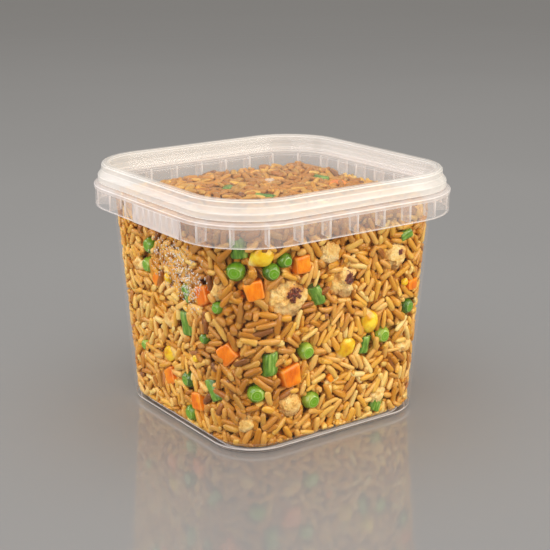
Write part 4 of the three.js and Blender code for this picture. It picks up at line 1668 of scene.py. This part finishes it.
# %% [markdown]
# Behind the grains lies a core, lumpy and painted a darker amber than the grains as the shade deep
# in the heap, that closes the last gaps. It is the shape of the packed food, drawn in by about 5 mm,
# with bumps of grain size.


# %% The core of the heap
def core_finish():
    paint = Paint("rice_core")
    place = paint.place(SAME_SCALE)
    lumps = paint.noise(place, 330.0, 3.0)
    # painted shade: the core is darker than the grains, for the shade deep in the heap
    colour = paint.ramp(
        lumps,
        [(0.35, (0.32, 0.11, 0.012)), (0.55, (0.55, 0.24, 0.035)), (0.72, (0.68, 0.35, 0.07))],
    )
    sockets = {"Base Color": colour, "Roughness": 0.5, "Normal": paint.bump(lumps, 0.0012)}
    return paint.show(paint.solid(sockets))


core_shade_colour = core_finish()

# %% Build the core
# how far the core keeps from the wall, the floor and the top, in millimetres
CORE_INSET, CORE_ABOVE_FLOOR, CORE_BELOW_TOP = 5.2, 2.0, 3.6
CORE_STEPS = 220


def build_core():
    rows = [(half, FLOOR_TOP + CORE_ABOVE_FLOOR) for half in (0.6, 20, 38)]
    rows += [(float(wall_half(up)) - CORE_INSET, up) for up in np.linspace(5.5, 82.5, 34)]
    rows += [(half, FOOD_TOP - CORE_BELOW_TOP) for half in np.linspace(43, 31, 7)]
    turns = np.arange(CORE_STEPS) / CORE_STEPS
    points = []
    for half, up in rows:
        size = max(half, SMALLEST_RING)
        spot, _ = ring_place(size, up, turns)
        spot[:, :2] *= half / size
        points.append(spot)
    for shrink in (0.85, 0.7, 0.55, 0.4, 0.25, 0.1, 0.01):
        points.append(spot * (shrink, shrink, 1))
    points = np.concatenate(points)
    heaped = points[:, 2] > FOOD_TOP - 4
    points[heaped, 2] += swell_at(*points[heaped, :2].T)
    out = unit(points - (0, 0, 44))
    points += out * (0.9 * bumps(points, 0.3, 3, 2))[:, None]
    quads = tube_quads(CORE_STEPS, len(points) // CORE_STEPS)[:, [0, 3, 2, 1]]
    caps = [end_cap(CORE_STEPS, 0), end_cap(CORE_STEPS, len(points) - CORE_STEPS)[:, ::-1]]
    return new_piece("rice_core", points, [quads, *caps], core_shade_colour)


rice_pieces.append(build_core())
for piece in rice_pieces:
    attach(piece, "root")
    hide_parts("rice")

# %% [markdown]
# Steam from the hot rice has left beads of water on the inside of the wall, in a few patches. Each
# is a low dome that catches the light, with a warm white body as a painted highlight for its
# glints. They are set just inside the plastic, where they show.

# %% Beads of condensation
BEAD_PATCHES = [
    # distance round the tub, height, spread round, spread up, number
    (93, 68, 3.5, 4.5, 60), (78, 66.5, 6.0, 4.5, 260), (70.5, 60, 3.0, 3.5, 90),
    (64, 65, 2.2, 3.0, 40), (86, 74, 7.0, 2.5, 70),
]
BEAD_RADIUS, INTO_PLASTIC = (0.15, 0.42), 0.25


def bead_finish():
    paint = Paint("water")
    ripple = paint.noise(paint.place(SAME_SCALE), 2000.0)
    # painted highlight: clear water is given a warm white body colour for the glints of the beads
    sockets = {"Base Color": (0.96, 0.90, 0.80), "Roughness": 0.05 + 0.05 * ripple, "IOR": 1.33}
    grazing = paint.grazing()
    clear = paint.node("ShaderNodeBsdfTransparent")
    body = paint.mix(0.22 + 0.6 * grazing**2, clear, paint.solid(sockets))
    return paint.show(paint.mix(0.12 + 0.5 * grazing**3, body, paint.mirror(0.04)))


water = bead_finish()


# %% Build the beads
def build_beads(random):
    points, faces = round_template(2)
    parts = Parts()
    for along, up, spread, rise, number in BEAD_PATCHES:
        for _ in range(number):
            height = up + random.normal(0, rise)
            round_by = along + random.normal(0, spread)
            radius = random.uniform(*BEAD_RADIUS)
            spot, out, _, _ = on_wall(round_by, height, -INTO_PLASTIC)
            flat = points - 0.45 * (points @ out)[:, None] * out
            parts.add(spot + flat * radius, [faces])
    return parts.piece("condensation", water)


beads = build_beads(random)
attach(beads, "root")
